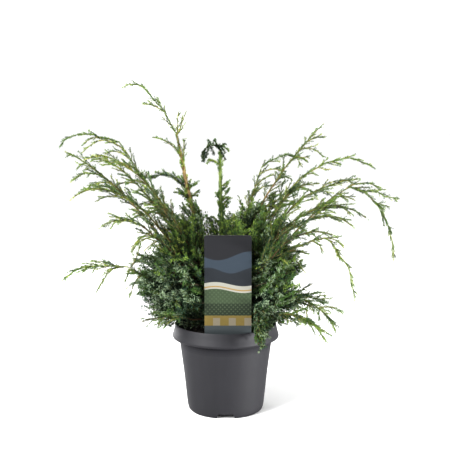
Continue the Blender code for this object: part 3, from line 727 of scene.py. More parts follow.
# ---- side branches: limb, share of it, end of the branch seen from its start in
# ---- millimetres (right, back, up), how far it arches over the straight line
SIDE_BRANCHES = (
    ("left_tall_tip", 0.30, -39, 6, 14, 4), ("left_tall_tip", 0.40, -6, -5, 16, 1),
    ("left_tall", 0.985, 2, 4, 43, 1), ("left_tall", 0.99, 17, -4, 44, -3),
    ("left_tall", 0.88, -50, -6, 31, 7), ("left_tall", 0.82, 2, 8, 46, 1),
    ("left_tall", 0.665, -70, 5, 21, 19),
    ("left_tall", 0.67, 15, -8, 14, 2), ("left_tall", 0.63, 17, 6, 10, 2),
    ("left_tall", 0.62, -18, -10, 12, 3), ("left_tall", 0.60, -24, 18, 22, 3),
    ("left_high", 0.93, -78, -8, 3, 24), ("left_high", 0.88, -52, 16, 14, 12),
    ("left_high_tip", 0.25, -34, -5, -10, 5), ("left_high", 0.80, -44, -14, 20, 9),
    ("left_inner", 0.92, -41, -6, -4, 4), ("left_inner", 0.80, -36, -20, 14, 8),
    ("left_rear", 0.88, -44, 14, 4, 8), ("left_rear", 0.78, -50, 24, 16, 8),
    ("left_mid", 0.95, -15, -5, 2, 2), ("left_mid", 0.90, -17, 6, -9, 3),
    ("left_mid", 0.85, -20, 8, 1, 4), ("left_mid", 0.75, -45, -6, -4, 8),
    ("left_mid", 0.68, -38, 10, 18, 5), ("left_droop", 0.75, -54, -6, 10, 7),
    ("left_droop", 0.70, -64, 5, 1, 10), ("left_droop", 0.85, -24, 10, 2, 5),
    ("left_front", 0.85, -24, -6, -12, 5), ("left_front", 0.65, -40, -10, -20, 9),
    ("left_front", 0.68, -34, 8, -34, 8), ("left_front", 0.60, -30, -8, -14, 6),
    ("left_low_tip", 0.20, -34, 6, 7, 3), ("left_low_tip", 0.50, -20, -5, -12, 3),
    ("left_low_tip", 0.45, -9, 8, -14, 3), ("left_low_tip", 0.15, -36, -8, -43, 8),
    ("left_low", 0.97, -12, 5, -22, 2), ("left_low", 0.98, 18, 8, 42, -5),
    ("left_low", 0.87, -21, -6, -39, 5), ("left_low", 0.80, -34, -22, 18, 4),
    ("left_skirt", 0.75, -20, 4, 7, 2), ("left_skirt", 0.65, -20, -6, -16, 4),
    ("left_skirt", 0.55, -26, -14, 10, 3),
    ("middle", 0.88, -21, -4, 10, 3), ("middle", 0.72, 13, -3, 7, 0),
    ("middle", 0.68, 11, 4, 10, 0), ("middle", 0.62, -9, 6, 12, 0),
    ("middle", 0.60, 14, -3, 24, 0), ("middle", 0.56, 15, 4, 16, 0), ("middle", 0.52, 12, -4, 18, 0),
    ("middle", 0.40, -11, 3, 18, 0), ("middle", 0.36, 12, 5, 16, 0),
    ("right_inner", 0.64, -14, -6, 28, 0), ("right_inner", 0.66, 2, 8, 32, 0),
    ("right_inner", 0.80, 32, -5, 16, 4), ("right_inner", 0.86, 30, 8, 20, 4),
    ("right_inner", 0.95, 46, -6, 5, 7), ("right_inner_tip", 0.55, 30, 6, -22, 6),
    ("right_tall", 0.88, 32, 5, 8, 3), ("right_tall", 0.83, 41, -6, -13, 8),
    ("right_tall", 0.76, 34, 14, 2, 6), ("right_high", 0.75, 57, -8, 22, 6),
    ("right_high", 0.95, 36, 6, 2, 4), ("right_high", 0.90, 26, -6, 2, 4),
    ("right_high", 0.83, 22, 12, 14, 3), ("right_high_tip", 0.20, 19, -5, -5, 2),
    ("right_rear", 0.86, 34, 8, -3, 6), ("right_rear", 0.78, 40, 22, 10, 6),
    ("right_arch", 0.985, 59, 6, -3, 12), ("right_arch", 0.90, 36, -6, -4, 4),
    ("right_arch", 0.93, 17, -5, -12, 3), ("right_arch", 0.80, 30, -14, 14, 3),
    ("right_arch_tip", 0.35, 15, 4, -20, 3), ("right_arch_tip", 0.35, 18, -6, -5, 2),
    ("right_arch_tip", 0.62, 7, 4, -12, 1),
    ("right_droop", 0.80, 36, -5, -14, 8), ("right_droop", 0.70, 34, 12, 12, 4),
    ("right_front", 0.74, 34, -8, 10, 6), ("right_front", 0.82, 30, 8, -10, 5),
    ("right_front_low", 0.80, 26, -6, -12, 5), ("right_front_low", 0.70, 26, 10, 14, 3),
    ("right_low", 0.96, 40, -5, -14, 8), ("right_low", 0.90, 22, 6, -20, 5),
    ("right_low", 0.66, 42, 8, -34, 9), ("right_low", 0.60, 18, -8, -40, 5),
    ("right_low", 0.72, 24, 6, 10, 4), ("right_low", 0.50, 44, -6, -36, 4),
    ("right_low", 0.44, 40, 8, -20, 3), ("right_low", 0.47, 36, -10, -52, 3),
    ("right_low", 0.42, 48, 4, -44, 5), ("right_skirt", 0.50, 26, -8, 26, 3),
    ("right_skirt", 0.44, 30, 6, 34, 3), ("right_low_tip", 0.20, 7, -4, -20, 2),
    ("right_skirt", 0.90, 20, 6, 4, 2), ("right_skirt", 0.60, 34, -10, 16, 4),
    ("right_foot", 0.80, -1, 5, -22, 1), ("right_foot", 0.70, -6, -6, -38, 4),
    ("right_foot", 0.60, 5, 6, -42, 6), ("right_foot_fore", 0.80, 13, -5, -23, 3),
    ("right_foot_fore", 0.60, 4, 8, -20, 4),
)
for i, (name, share, dx, dy, dz, rise) in enumerate(SIDE_BRANCHES):
    region = where["spray_" + name]
    line = lines[name + "_grown"]
    p, d = at(line, share)
    end = p + np.array([dx, dy, dz]) / 1000.0
    middle_point = (p + end) / 2 + UP * (rise * 2 / 1000.0)
    t = np.linspace(0, 1, 13)[:, None]
    branch = (1 - t) ** 2 * p + 2 * t * (1 - t) * middle_point + t * t * end
    branch = branch + np.sin(t * 9 + i) * rng.normal(0, 0.0006, 3)
    long = float(np.linalg.norm(end - p))
    low = p[2] < 0.30 and not name.startswith("right")
    mix = LOWER if low else OUTER
    if name == "left_skirt":
        mix = HEART_LOW
    if name in ("right_skirt", "right_foot", "right_foot_fore"):
        mix = BRIGHT
    if name == "left_tall" and share < 0.7:
        mix = UPPER
    if name.startswith("middle"):
        mix = UPPER
    if name in ("right_low", "right_skirt") and share < 0.55:
        mix = HEART_LOW
    wood(region, branch[::2], 0.0008, 0.0004, 4, 2 if long < 0.03 else 1)
    clump = name == "middle" or (name == "left_tall" and share < 0.675)
    spray(region, branch, 0.06, 0.014 if long > 0.03 else 0.0, mix, 36 if clump else 23,
          0.0044 if clump else 0.0029, every=0.0065 if clump else 0.013,
          least=0.009 if clump else 0.007)
    needles(region, branch, pick(SPINE if mix in (OUTER, UPPER, BRIGHT) else mix[0]), pick(mix[1]),
            34 if clump else 20, 0.0044 if clump else 0.0030, 0.0018)

# ---- branches out of the picture's plane, so that the crown is full all round ------
for name, spec in LIMBS.items():
    if spec[0] != "stem" or name in ("left_tall", "middle"):
        continue
    region = where["spray_" + name]
    line = lines[name + "_grown"]
    az = spec[2]
    count = 9 if name.startswith("back") else 5
    for i in range(count):
        share = rng.uniform(0.42, 0.74 if "tall" in name or "high" in name else 0.84)
        p, d = at(line, share)
        out = math.radians(az + rng.choice([-1, 1]) * rng.uniform(35, 95))
        go = np.array([math.cos(out), math.sin(out), rng.uniform(0.1, 0.9)])
        if abs(go[0]) > 0.75 and not name.startswith("back"):
            continue
        branch = grow(p, unit(go + d * 0.8), rng.uniform(0.035, 0.075) * (1.15 - share * 0.5),
                      np.array([0, 0, -1.0]), 0.9, steps=9, wobble=0.05)
        if branch is None:
            continue
        mix = LOWER if p[2] < 0.30 else UPPER
        wood(region, branch[::2], 0.0008, 0.0004, 4, 1)
        spray(region, branch, 0.06, 0.018, mix, 23, 0.0029, every=0.013, least=0.008)
        needles(region, branch, pick(mix[0]), pick(mix[1]), 22, 0.0034, 0.0018)

# ---- the nodding top of the middle shoot: dark hanging tufts -----------------------
top_line = lines["middle_nod_grown"]
for i, (share, dx, dy, dz, rise) in enumerate(((0.05, 11, 3, 7, 2), (0.15, -5, -4, 12, 0),
                                               (0.22, 18, -5, -14, 8), (0.25, 20, 6, -26, 9),
                                               (0.35, -5, 5, 9, 2), (0.45, -5, -6, -22, 7),
                                               (0.52, 5, -5, 10, 0), (0.60, -3, 6, -24, 4),
                                               (0.70, 0, -3, -17, 2), (0.45, 9, 5, -17, 6),
                                               (0.66, -4, 3, -15, 4), (0.12, 20, 3, -8, 8),
                                               (0.30, 3, -3, 9, 0))):
    start, d = at(top_line, share)
    end = start + np.array([dx, dy, dz]) / 1000.0
    over = (start + end) / 2 + UP * rise / 1000.0
    t = np.linspace(0, 1, 9)[:, None]
    tuft = (1 - t) ** 2 * start + 2 * t * (1 - t) * over + t * t * end
    long = float(np.linalg.norm(end - start))
    tint, tip = (deep, deep) if dz < -12 else ((green, deep), (deep, green), (green, fresh))[i % 3]
    wood(middle, tuft[::2], 0.0010, 0.0005, 4, 3)
    needles(middle, tuft, tint, tip, 46, 0.0035, 0.0011)
    twiglets(middle, tuft, long, tint, tip, 52, 0.0034, 0.0010, pace=0.0030, short=0.0036,
             long=0.0016, open_angle=(36, 64), start=0.15)

# ---- the heart: limbs from the stem, then shoots out to its uneven outline ----------
def heart_depths(points):
    q = np.einsum("kij,nkj->nki", heart_m, points[:, None] - heart_c[None])
    return np.sqrt((q ** 2).sum(2)).min(1)


nodes_at, nodes_dir = [], []
for i in range(120):
    az = (i * 137.508 + rng.uniform(-12, 12)) % 360.0
    rise = 8 + 70 * ((i * 0.6180339) % 1.0) ** 0.9
    height = rng.uniform(0.150, 0.222)
    spec = ("stem", height, az, rise, rise - rng.uniform(0, 45), 0.24, rng.uniform(0.8, 2.2))
    line = limb_line(spec, {}, steps=40)
    depth = heart_depths(line)
    inside = np.flatnonzero(depth < 1.0)
    if not len(inside):
        continue
    end = inside[-1]
    for k in range(6, end + 1):
        if blocked(line[k]):
            end = k - 1
            break
    if end < 9:
        continue
    line = line[:end + 1] + np.sin(np.linspace(0, 5, end + 1))[:, None] * rng.normal(0, 0.0012, 3)
    region = heart_region(line[-1])
    wood(region, line[2::3], 0.0018, 0.0007, 4, 3)
    nodes_at.append(line[5:])
    nodes_dir.append(np.gradient(line, axis=0)[5:])
for name, spec in LIMBS.items():
    if spec[0] == "stem":
        line = lines[name + "_grown"]
        inside = heart_depths(line) < 1.0
        nodes_at.append(line[inside][3:])
        nodes_dir.append(np.gradient(line, axis=0)[inside][3:])
nodes_at = np.concatenate(nodes_at)
nodes_dir = units(np.concatenate(nodes_dir))
HUB = np.array([0.0, 0.0, 0.185])

targets = []
while len(targets) < 1500:
    cloud = np.stack([rng.uniform(-0.20, 0.19, 4000), rng.uniform(-0.12, 0.17, 4000),
                      rng.uniform(0.150, 0.400, 4000)], 1)
    depth = heart_depths(cloud)
    for p, dd in zip(cloud, depth):
        ragged = 0.22 * noise.noise(Vector(p) * 24.0) + 0.16 * noise.noise(Vector(p) * 60.0)
        wide = 0.34 if p[0] < -0.10 and 0.195 < p[2] < 0.290 else 0.12 if p[0] > 0.09 else 0.0
        if not 0.30 < dd < 1.18 + ragged + wide:
            continue
        if p[0] > 0.088 and 0.150 < p[2] < 0.245 and dd > 0.72 and rng.random() < 0.55:
            continue
        if dd < 0.75 and rng.random() < (0.6 if p[2] > 0.24 else 0.3):
            continue
        # the crown's top: a tuft right of the middle, a notch left of it
        if abs(p[0] + 0.014) < 0.007 and p[2] > 0.322 - 0.125 * p[1]:
            continue
        if abs(p[0]) < 0.045 and p[2] > (0.374 if abs(p[0] - 0.020) < 0.012 else 0.356):
            continue
        if blocked(p, 0.004):
            continue
        targets.append((p, dd))
        if len(targets) >= 1500:
            break
for p, dd in targets:
    away = unit((p - HUB) * np.array([1.0, 1.0, 0.8]) + UP * 0.02)
    want = p - away * 0.052
    gap = np.linalg.norm(nodes_at - want, axis=1)
    j = int(np.argmin(gap))
    start = nodes_at[j]
    long = float(np.linalg.norm(p - start))
    if long > 0.095 or long < 0.012:
        continue
    turn = unit(away + rng.normal(0, 0.25, 3))
    bend = p - turn * long * 0.5 - UP * rng.uniform(-0.004, 0.008)
    t = np.linspace(0, 1, 10)[:, None]
    shoot = (1 - t) ** 2 * start + 2 * t * (1 - t) * bend + t * t * p
    if any(blocked(q) for q in shoot[4:]):
        continue
    region = heart_region(p)
    # painted shade: shoots deep in the lower heart take the darkest tints
    if dd < 0.78 and p[2] < 0.30:
        mix = PAINTED_SHADE_MIX
    elif p[2] > 0.29:
        mix = HEART_HIGH
    elif p[2] < 0.250 and p[0] < 0:
        mix = HEART_LOW
    else:
        mix = HEART_RIGHT if p[0] > 0 and p[2] < 0.28 else HEART_MID
    tint, tip_tint = pick(mix[0]), pick(mix[1])
    wood(region, shoot[::3], 0.0008, 0.0003, 3, 3)
    keep = shoot[int(max(0.0, 1 - 0.048 / long) * 9):]
    leafy = float(np.linalg.norm(keep[0] - keep[-1]))
    low = p[2] < 0.27
    wide, size = (44, 0.0056) if low else (32, 0.0048)
    gap = 0.0034 if dd > 0.78 and p[1] < 0.06 else 0.0042
    needles(region, keep, tint, tip_tint, wide, size, gap)
    twiglets(region, keep, leafy, tint, tip_tint, wide, size * 0.96, gap, pace=0.0050,
             short=0.0040, long=0.0125, open_angle=(34, 50), start=0.05)

# ---- what hangs over the rim beside the card ----------------------------------------
for i in range(22):
    p = np.array([rng.uniform(0.049, 0.068), rng.uniform(-0.078, -0.050), rng.uniform(0.172, 0.200)])
    reach = 0.070 - 2.6 * max(0.0, p[0] - 0.056)
    line = grow(p, np.array([rng.uniform(-0.20, 0.15), -1.0, 0.30]), reach * rng.uniform(0.62, 1.0),
                np.array([0.00, -0.10, -1.0]), 2.0, steps=12, wobble=0.03)
    if line is None:
        continue
    wood(right3, line, 0.0011, 0.0006, 4, 0)
    mix = HANGING if i % 4 else HEART_RIGHT
    spray(right3, line, 0.06, 0.008, mix, 38, 0.0044, gap=0.0026, every=0.0105, least=0.011, full=True)
    needles(right3, line, pick(mix[0]), green, 34, 0.0046, 0.0030)

# ---- short sprays that fill in beside the card ----------------------------------------
for i in range(64):
    right_side = i % 2
    x = rng.uniform(0.050, 0.090) * (1 if right_side else -1)
    p = np.array([x, rng.uniform(-0.050, -0.015), rng.uniform(0.185, 0.300)])
    line = grow(p, np.array([rng.uniform(-0.2, 0.5) * (1 if right_side else -1), -1.0,
                             rng.uniform(-0.2, 0.5)]), rng.uniform(0.030, 0.046),
                np.array([0.0, -0.2, -0.3]), 0.6, steps=8, wobble=0.05)
    if line is None:
        continue
    region = core_r if right_side else core_l
    mix = (HEART_RIGHT if right_side else HEART_LOW if p[2] < 0.25 else HEART_MID)
    tint, tip_tint = pick(mix[0]), pick(mix[1])
    wood(region, line[::2], 0.0009, 0.0004, 3, 3)
    needles(region, line, tint, tip_tint, 42, 0.0054, 0.0034)
    twiglets(region, line, float(np.linalg.norm(line[-1] - line[0])), tint, tip_tint, 42, 0.0052,
             0.0034, pace=0.0048, short=0.0040, long=0.0125, open_angle=(34, 50), start=0.05)

# ---- the longest of the hanging shoots, down over the lip ------------------------------
for x, lean, long in ((0.047, 0.06, 0.058), (0.051, 0.06, 0.066), (0.055, 0.04, 0.074),
                      (0.059, 0.02, 0.064), (0.065, 0.06, 0.050)):
    line = grow(np.array([x, -0.066, 0.184]), np.array([lean, -1.0, 0.26]), long,
                np.array([0.04, -0.08, -1.0]), 2.2, steps=14, wobble=0.02)
    if line is None:
        continue
    wood(right3, line, 0.0011, 0.0006, 4, 0)
    spray(right3, line, 0.06, 0.008, HANGING, 38, 0.0044, gap=0.0026, every=0.0105, least=0.011, full=True)
    needles(right3, line, pick(HANGING[0]), green, 34, 0.0046, 0.0030)

# =============================================================================
# turning what grew into joined pieces
# =============================================================================
def build_needles(region):
    cols = [np.concatenate([n[k] for n in region.needle]) for k in range(5)]
    base, along, out, length, tint = cols
    keep = np.ones(len(base), bool)
    tip = base + along * length[:, None]
    for q in (base, tip):
        x, y, z = q.T
        r = np.hypot(x, y)
        keep &= ~((z < CARD_TOP + 0.004) & (y < CARD_Y + 0.0022)
                  & (np.abs(x - CARD_X) < CARD_W / 2 + 0.002))
        keep &= ~((z < POT_HEIGHT + 0.0005) & (r > RIM_TOP - 0.004) & (r < RIM_LIP + 0.0006))
        keep &= ~((z < SOIL_TOP + 0.001) & (r < RIM_LIP))
    base, along, out, length, tint = (c[keep] for c in cols)
    n = len(base)
    across = units(np.cross(along, out))
    back = np.cross(across, along)
    w = (length * 0.145)[:, None]
    mid = base + along * (length * 0.42)[:, None]
    keel = back * (w * 0.55)
    verts = np.empty((n, 4, 3), np.float32)
    verts[:, 0] = base
    verts[:, 1] = mid + across * w + keel
    verts[:, 2] = base + along * length[:, None]
    verts[:, 3] = mid - across * w + keel
    i = np.arange(n)[:, None] * 4
    faces = np.concatenate([i + [0, 1, 2], i + [0, 2, 3]], 1).reshape(-1, 3)
    used = sorted(set(tint.tolist()))
    remap = np.zeros(len(NEEDLE_MATS), np.int32)
    for k, u in enumerate(used):
        remap[u] = k
    slots = np.repeat(remap[tint], 2)
    return verts.reshape(-1, 3), faces, slots, [NEEDLE_MATS[u] for u in used]


def build_tubes(tubes, relief=0.0):
    """Rings of each limb's own count of sides, closed at both ends unless the limb has only two rings."""
    verts, faces, slots, at_vert = [], [], [], 0
    for pts, radii, sides, slot in tubes:
        m = len(pts)
        d = units(np.gradient(pts, axis=0))
        s = np.array([sideways(x) for x in d])
        w = np.cross(d, s)
        ang = np.arange(sides) * 2 * math.pi / sides
        ring = s[:, None] * np.cos(ang)[None, :, None] + w[:, None] * np.sin(ang)[None, :, None]
        rr = np.repeat(radii[:, None], sides, 1)
        if relief:
            rr = rr * (1 + relief * rng.normal(0, 1, rr.shape))
        v = pts[:, None] + ring * rr[..., None]
        verts.append(v.reshape(-1, 3))
        verts.append(np.array([pts[0], pts[-1]]))
        k = np.arange(sides)
        nxt = (k + 1) % sides
        for j in range(m - 1):
            a, b = at_vert + j * sides, at_vert + (j + 1) * sides
            faces.append(np.stack([a + k, a + nxt, b + nxt], 1))
            faces.append(np.stack([a + k, b + nxt, b + k], 1))
            slots.append(np.full(sides * 2, slot))
        if m == 2:
            verts.pop()
            at_vert += m * sides
            continue
        c0, c1 = at_vert + m * sides, at_vert + m * sides + 1
        last = at_vert + (m - 1) * sides
        faces.append(np.stack([at_vert + nxt, at_vert + k, np.full(sides, c0)], 1))
        faces.append(np.stack([last + k, last + nxt, np.full(sides, c1)], 1))
        slots.append(np.full(sides * 2, slot))
        at_vert += m * sides + 2
    return np.concatenate(verts), np.concatenate(faces), np.concatenate(slots)


total = 0
for r in regions.values():
    verts, faces, slots, mats = build_needles(r)
    piece = mesh_object("needles_" + r.name, verts, faces, mats, slots)
    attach(piece, "root")
    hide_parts(*r.nodes)
    verts, f2, s2 = build_tubes(r.tube)
    twigs = mesh_object("twigs_" + r.name, verts, f2, TWIG_MATS, s2, smooth=True)
    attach(twigs, "root")
    total += len(faces) + len(f2)
    print("PIECE", r.name, "needle faces", len(faces), "twig faces", len(f2))
print("TOTAL foliage faces", total)


# =============================================================================
# stem and boughs, with the bark's relief
# =============================================================================
def barky(name, pts, radii, sides, ridges, depth, node, seed, mat=None):
    pts = np.asarray(pts)
    m = len(pts)
    d = units(np.gradient(pts, axis=0))
    s = np.array([sideways(x) for x in d])
    for k in range(1, m):  # carry the ring along without a twist
        v = s[k - 1] - d[k] * float(s[k - 1] @ d[k])
        s[k] = unit(v)
    w = np.cross(d, s)
    ang = np.arange(sides) * 2 * math.pi / sides
    run = np.concatenate([[0], np.cumsum(np.linalg.norm(np.diff(pts, axis=0), axis=1))])
    verts = []
    for k in range(m):
        for a in ang:
            flake = noise.fractal(Vector((math.cos(a) * ridges + seed, math.sin(a) * ridges,
                                          run[k] * 55.0)), 0.7, 2.1, 4)
            strip = noise.ridged_multi_fractal(Vector((math.cos(a) * ridges * 1.6, seed,
                                                       math.sin(a) * ridges * 1.6 + run[k] * 9)),
                                               0.9, 2.0, 3, 1.0, 1.0)
            r = radii[k] * (1 + depth * flake + depth * 0.45 * (strip - 1.0))
            verts.append(pts[k] + (s[k] * math.cos(a) + w[k] * math.sin(a)) * r)
    verts += [pts[0], pts[-1]]
    faces = []
    for k in range(m - 1):
        for i in range(sides):
            j = (i + 1) % sides
            a, b = k * sides, (k + 1) * sides
            faces += [(a + i, a + j, b + j), (a + i, b + j, b + i)]
    c0, c1, last = m * sides, m * sides + 1, (m - 1) * sides
    for i in range(sides):
        j = (i + 1) % sides
        faces += [(j, i, c0), (last + i, last + j, c1)]
    obj = mesh_object(name, np.array(verts), np.array(faces), [mat or BARK], smooth=True)
    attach(obj, "root")
    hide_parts(node)
    return obj


zs = np.linspace(STEM_FOOT, STEM_TOP, 60)
barky("stem_bark", [stem_axis(z) for z in zs],
      [stem_radius(z) * (0.96 if z > STEM_FOOT + 0.001 else 1.0) for z in zs], 40, 1.6, 0.10,
      "stem", 3.0)
for i, name in enumerate(BOUGHS):
    line = lines[name + "_grown"]
    n = len(line)
    fine = np.array([at(line, t)[0] for t in np.linspace(0.02 if name != "middle" else 0.0, 1.0, 150)])
    radii = bough_radius(name, np.linspace(0, 1, 150))
    barky("bough_bark_" + name, fine, radii, 14, 1.2, 0.10, "bough_" + name, 10.0 + i * 3,
          YOUNG if name == "middle" else None)


# =============================================================================
# pot, growing medium and card
# =============================================================================
def turned_mesh(name, profile, steps, mats, smooth=True):
    prof = np.array(profile)
    m = len(prof)
    ang = np.arange(steps) * 2 * math.pi / steps
    verts, faces = [], []
    index = []
    for r, z in prof:
        if r < 1e-9:
            index.append([len(verts)] * steps)
            verts.append((0, 0, z))
        else:
            index.append(list(range(len(verts), len(verts) + steps)))
            verts += [(r * math.cos(a), r * math.sin(a), z) for a in ang]
    bm = bmesh.new()
    vs = [bm.verts.new(v) for v in verts]
    for k in range(m - 1):
        for i in range(steps):
            j = (i + 1) % steps
            quad = [index[k][i], index[k + 1][i], index[k + 1][j], index[k][j]]
            seen = []
            for q in quad:
                if q not in seen:
                    seen.append(q)
            if len(seen) > 2:
                bm.faces.new([vs[q] for q in seen])
    bmesh.ops.recalc_face_normals(bm, faces=bm.faces)
    mesh = D.meshes.new(name)
    bm.to_mesh(mesh)
    bm.free()
    for mat in mats:
        mesh.materials.append(mat)
    obj = D.objects.new(name, mesh)
    scene.collection.objects.link(obj)
    if smooth:
        mesh.shade_smooth()
        mesh.set_sharp_from_angle(angle=math.radians(38))
    return obj


def rounded(points, radius, steps=4):
    """Rounds the corners of an open line of (r, z) points."""
    out = [points[0]]
    for a, b, c in zip(points, points[1:], points[2:]):
        a, b, c = (np.array(q, float) for q in (a, b, c))
        la, lc = np.linalg.norm(b - a), np.linalg.norm(c - b)
        cut = min(radius, la * 0.45, lc * 0.45)
        p, q = b + (a - b) / la * cut, b + (c - b) / lc * cut
        for i in range(steps + 1):
            t = i / steps
            out.append(tuple((1 - t) ** 2 * p + 2 * t * (1 - t) * b + t * t * q))
    out.append(points[-1])
    return out


WALL = 0.0019
# painted shade: below the lip the pot's gloss steps down at these heights, so the plastic reads darker where
# the lip's shade falls
LIP_SHADE_HEIGHTS = (0.1250, 0.1215, 0.1180, 0.1145)     # heights between which the gloss changes
inside = [(0.0669 - 0.0020, 0.0098), (0.0669, 0.0133), (0.0751 - WALL, 0.0703),
          (0.0808, 0.1297), (0.0831, 0.1320), (0.0906, 0.1325), (0.0952 - WALL, 0.1352),
          (0.0922 - WALL, 0.1448), (0.0902 - WALL, 0.1553)]
outside = [(0.0895, 0.1560), (0.0903, 0.1547), (0.0922, 0.1448), (0.0952, 0.1350),
           (0.0948, 0.1326), (0.0934, 0.1310), (0.0914, 0.1304), (0.0843, 0.1300),
           (0.0827, 0.1285), *[(0.0827 - (0.1285 - z) * 0.1306, z) for z in LIP_SHADE_HEIGHTS],
           (0.0751, 0.0703), (0.0688, 0.0120), (0.0679, 0.0060),
           (0.0666, 0.0018), (0.0650, 0.0)]
under = [(0.0515, 0.0), (0.0500, 0.0076), (0.0235, 0.0076), (0.0220, 0.0), (0.0, 0.0)]
pot_line = [(0.0, 0.0098)] + rounded(inside, 0.0022) + rounded(outside, 0.0026) + under
pot = turned_mesh("pot_moulded", pot_line, 144, [pot_material()])

bm = bmesh.new()
for i in range(4):
    made = bmesh.ops.create_cube(bm, size=1.0)["verts"]
    for v in made:
        half = 0.0318 if v.co.z < 0 else 0.0260
        v.co = Vector((v.co.x * half, v.co.y * 0.030 - 0.062, 0.0080 if v.co.z > 0 else -0.0011))
    bmesh.ops.rotate(bm, verts=made, cent=(0, 0, 0), matrix=Matrix.Rotation(math.pi / 2 * i, 3, "Z"))
for i in range(6):
    a = 2 * math.pi * (i + 0.5) / 6
    bmesh.ops.create_cone(bm, cap_ends=True, segments=24, radius1=0.004, radius2=0.004, depth=0.008,
                          matrix=Matrix.Translation((0.036 * math.cos(a), 0.036 * math.sin(a), 0.0088)))
mesh = D.meshes.new("drain_tool")
bm.to_mesh(mesh)
bm.free()
tool = D.objects.new("drain_tool", mesh)
scene.collection.objects.link(tool)
mod = pot.modifiers.new("drains", "BOOLEAN")
mod.operation = "DIFFERENCE"
mod.solver = "EXACT"
mod.object = tool
bpy.context.view_layer.update()
dg = bpy.context.evaluated_depsgraph_get()
fresh_mesh = D.meshes.new_from_object(pot.evaluated_get(dg))
pot.modifiers.clear()
pot.data = fresh_mesh
pot.data.set_sharp_from_angle(angle=math.radians(38))
D.objects.remove(tool)
# painted shade: the gloss is turned down in steps towards the corner under the lip, so the plastic there
# reads darker, standing in for the lip's shade
for k in range(4):
    pot.data.materials.append(pot_material("moulded_pot_plastic_dull_%d" % (k + 1), 0.12 + 0.042 * k))
for face in pot.data.polygons:
    c, normal = face.center, face.normal
    r = math.hypot(c.x, c.y)
    wall = LIP_SHADE_HEIGHTS[-1] < c.z < 0.1290 and (normal.x * c.x + normal.y * c.y) / max(r, 1e-6) > 0.3
    ledge = 0.1290 < c.z < 0.1306 and normal.z < -0.5 and 0.0830 < r < 0.0920
    if wall or ledge:
        face.material_index = 1 + sum(c.z < z for z in LIP_SHADE_HEIGHTS[:-1])
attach(pot, "root")
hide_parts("pot")

# ---- growing medium: an uneven, crumbly top --------------------------------------
medium = soil_material("moist_peat", (0.006, 0.004, 0.003, 1.0), (0.040, 0.024, 0.015, 1.0))
bm = bmesh.new()
rings, around = 26, 96
rim_r = 0.0898
grid = []
for k in range(rings + 1):
    r = rim_r * k / rings
    row = []
    for i in range(around if k else 1):
        a = 2 * math.pi * i / around
        x, y = r * math.cos(a), r * math.sin(a)
        h = noise.fractal(Vector((x * 60, y * 60, 2.0)), 0.8, 2.0, 4) * 0.0018
        z = SOIL_TOP - 0.0008 + h * (1 if k < rings else 0.3)
        row.append(bm.verts.new((x, y, z)))
    grid.append(row)
for i in range(around):
    j = (i + 1) % around
    bm.faces.new((grid[0][0], grid[1][i], grid[1][j]))
    for k in range(1, rings):
        bm.faces.new((grid[k][i], grid[k + 1][i], grid[k + 1][j], grid[k][j]))
lower = []
for r, z in ((0.0795, 0.1290), (0.0724, 0.0700), (0.0660, 0.0136), (0.0640, 0.0104)):
    lower.append([bm.verts.new((r * math.cos(2 * math.pi * i / around),
                                r * math.sin(2 * math.pi * i / around), z)) for i in range(around)])
loop = grid[rings]
for row in lower:
    for i in range(around):
        j = (i + 1) % around
        bm.faces.new((loop[i], row[i], row[j], loop[j]))
    loop = row
bm.faces.new(loop[::-1])
bmesh.ops.recalc_face_normals(bm, faces=bm.faces)
mesh = D.meshes.new("peat_top")
bm.to_mesh(mesh)
bm.free()
mesh.materials.append(medium)
mesh.shade_smooth()
peat = D.objects.new("peat_top", mesh)
scene.collection.objects.link(peat)
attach(peat, "root")
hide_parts("growing_medium")

verts, faces, at_vert = [], [], 0
for i in range(420):
    r = rim_r * 0.97 * math.sqrt(rng.random())
    a = rng.random() * 2 * math.pi
    size = 0.0009 + 0.0022 * rng.random() ** 2
    c = np.array([r * math.cos(a), r * math.sin(a), SOIL_TOP + size * 0.15])
    if r > 0.086 or blocked(c + np.array([0, 0, 0.004])) and c[1] < -0.06:
        continue
    base = np.array([(1, 0, 0), (-1, 0, 0), (0, 1, 0), (0, -1, 0), (0, 0, 1), (0, 0, -1)], float)
    v = base * size * rng.uniform(0.6, 1.25, (6, 1)) @ np.linalg.qr(rng.normal(size=(3, 3)))[0]
    verts.append(v + c)
    tri = np.array([(0, 2, 4), (2, 1, 4), (1, 3, 4), (3, 0, 4), (2, 0, 5), (1, 2, 5), (3, 1, 5), (0, 3, 5)])
    faces.append(tri + at_vert)
    at_vert += 6
crumbs = mesh_object("peat_crumbs", np.concatenate(verts), np.concatenate(faces),
                     [soil_material("peat_crumb", (0.010, 0.007, 0.005, 1.0), (0.060, 0.036, 0.022, 1.0))])
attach(crumbs, "root")


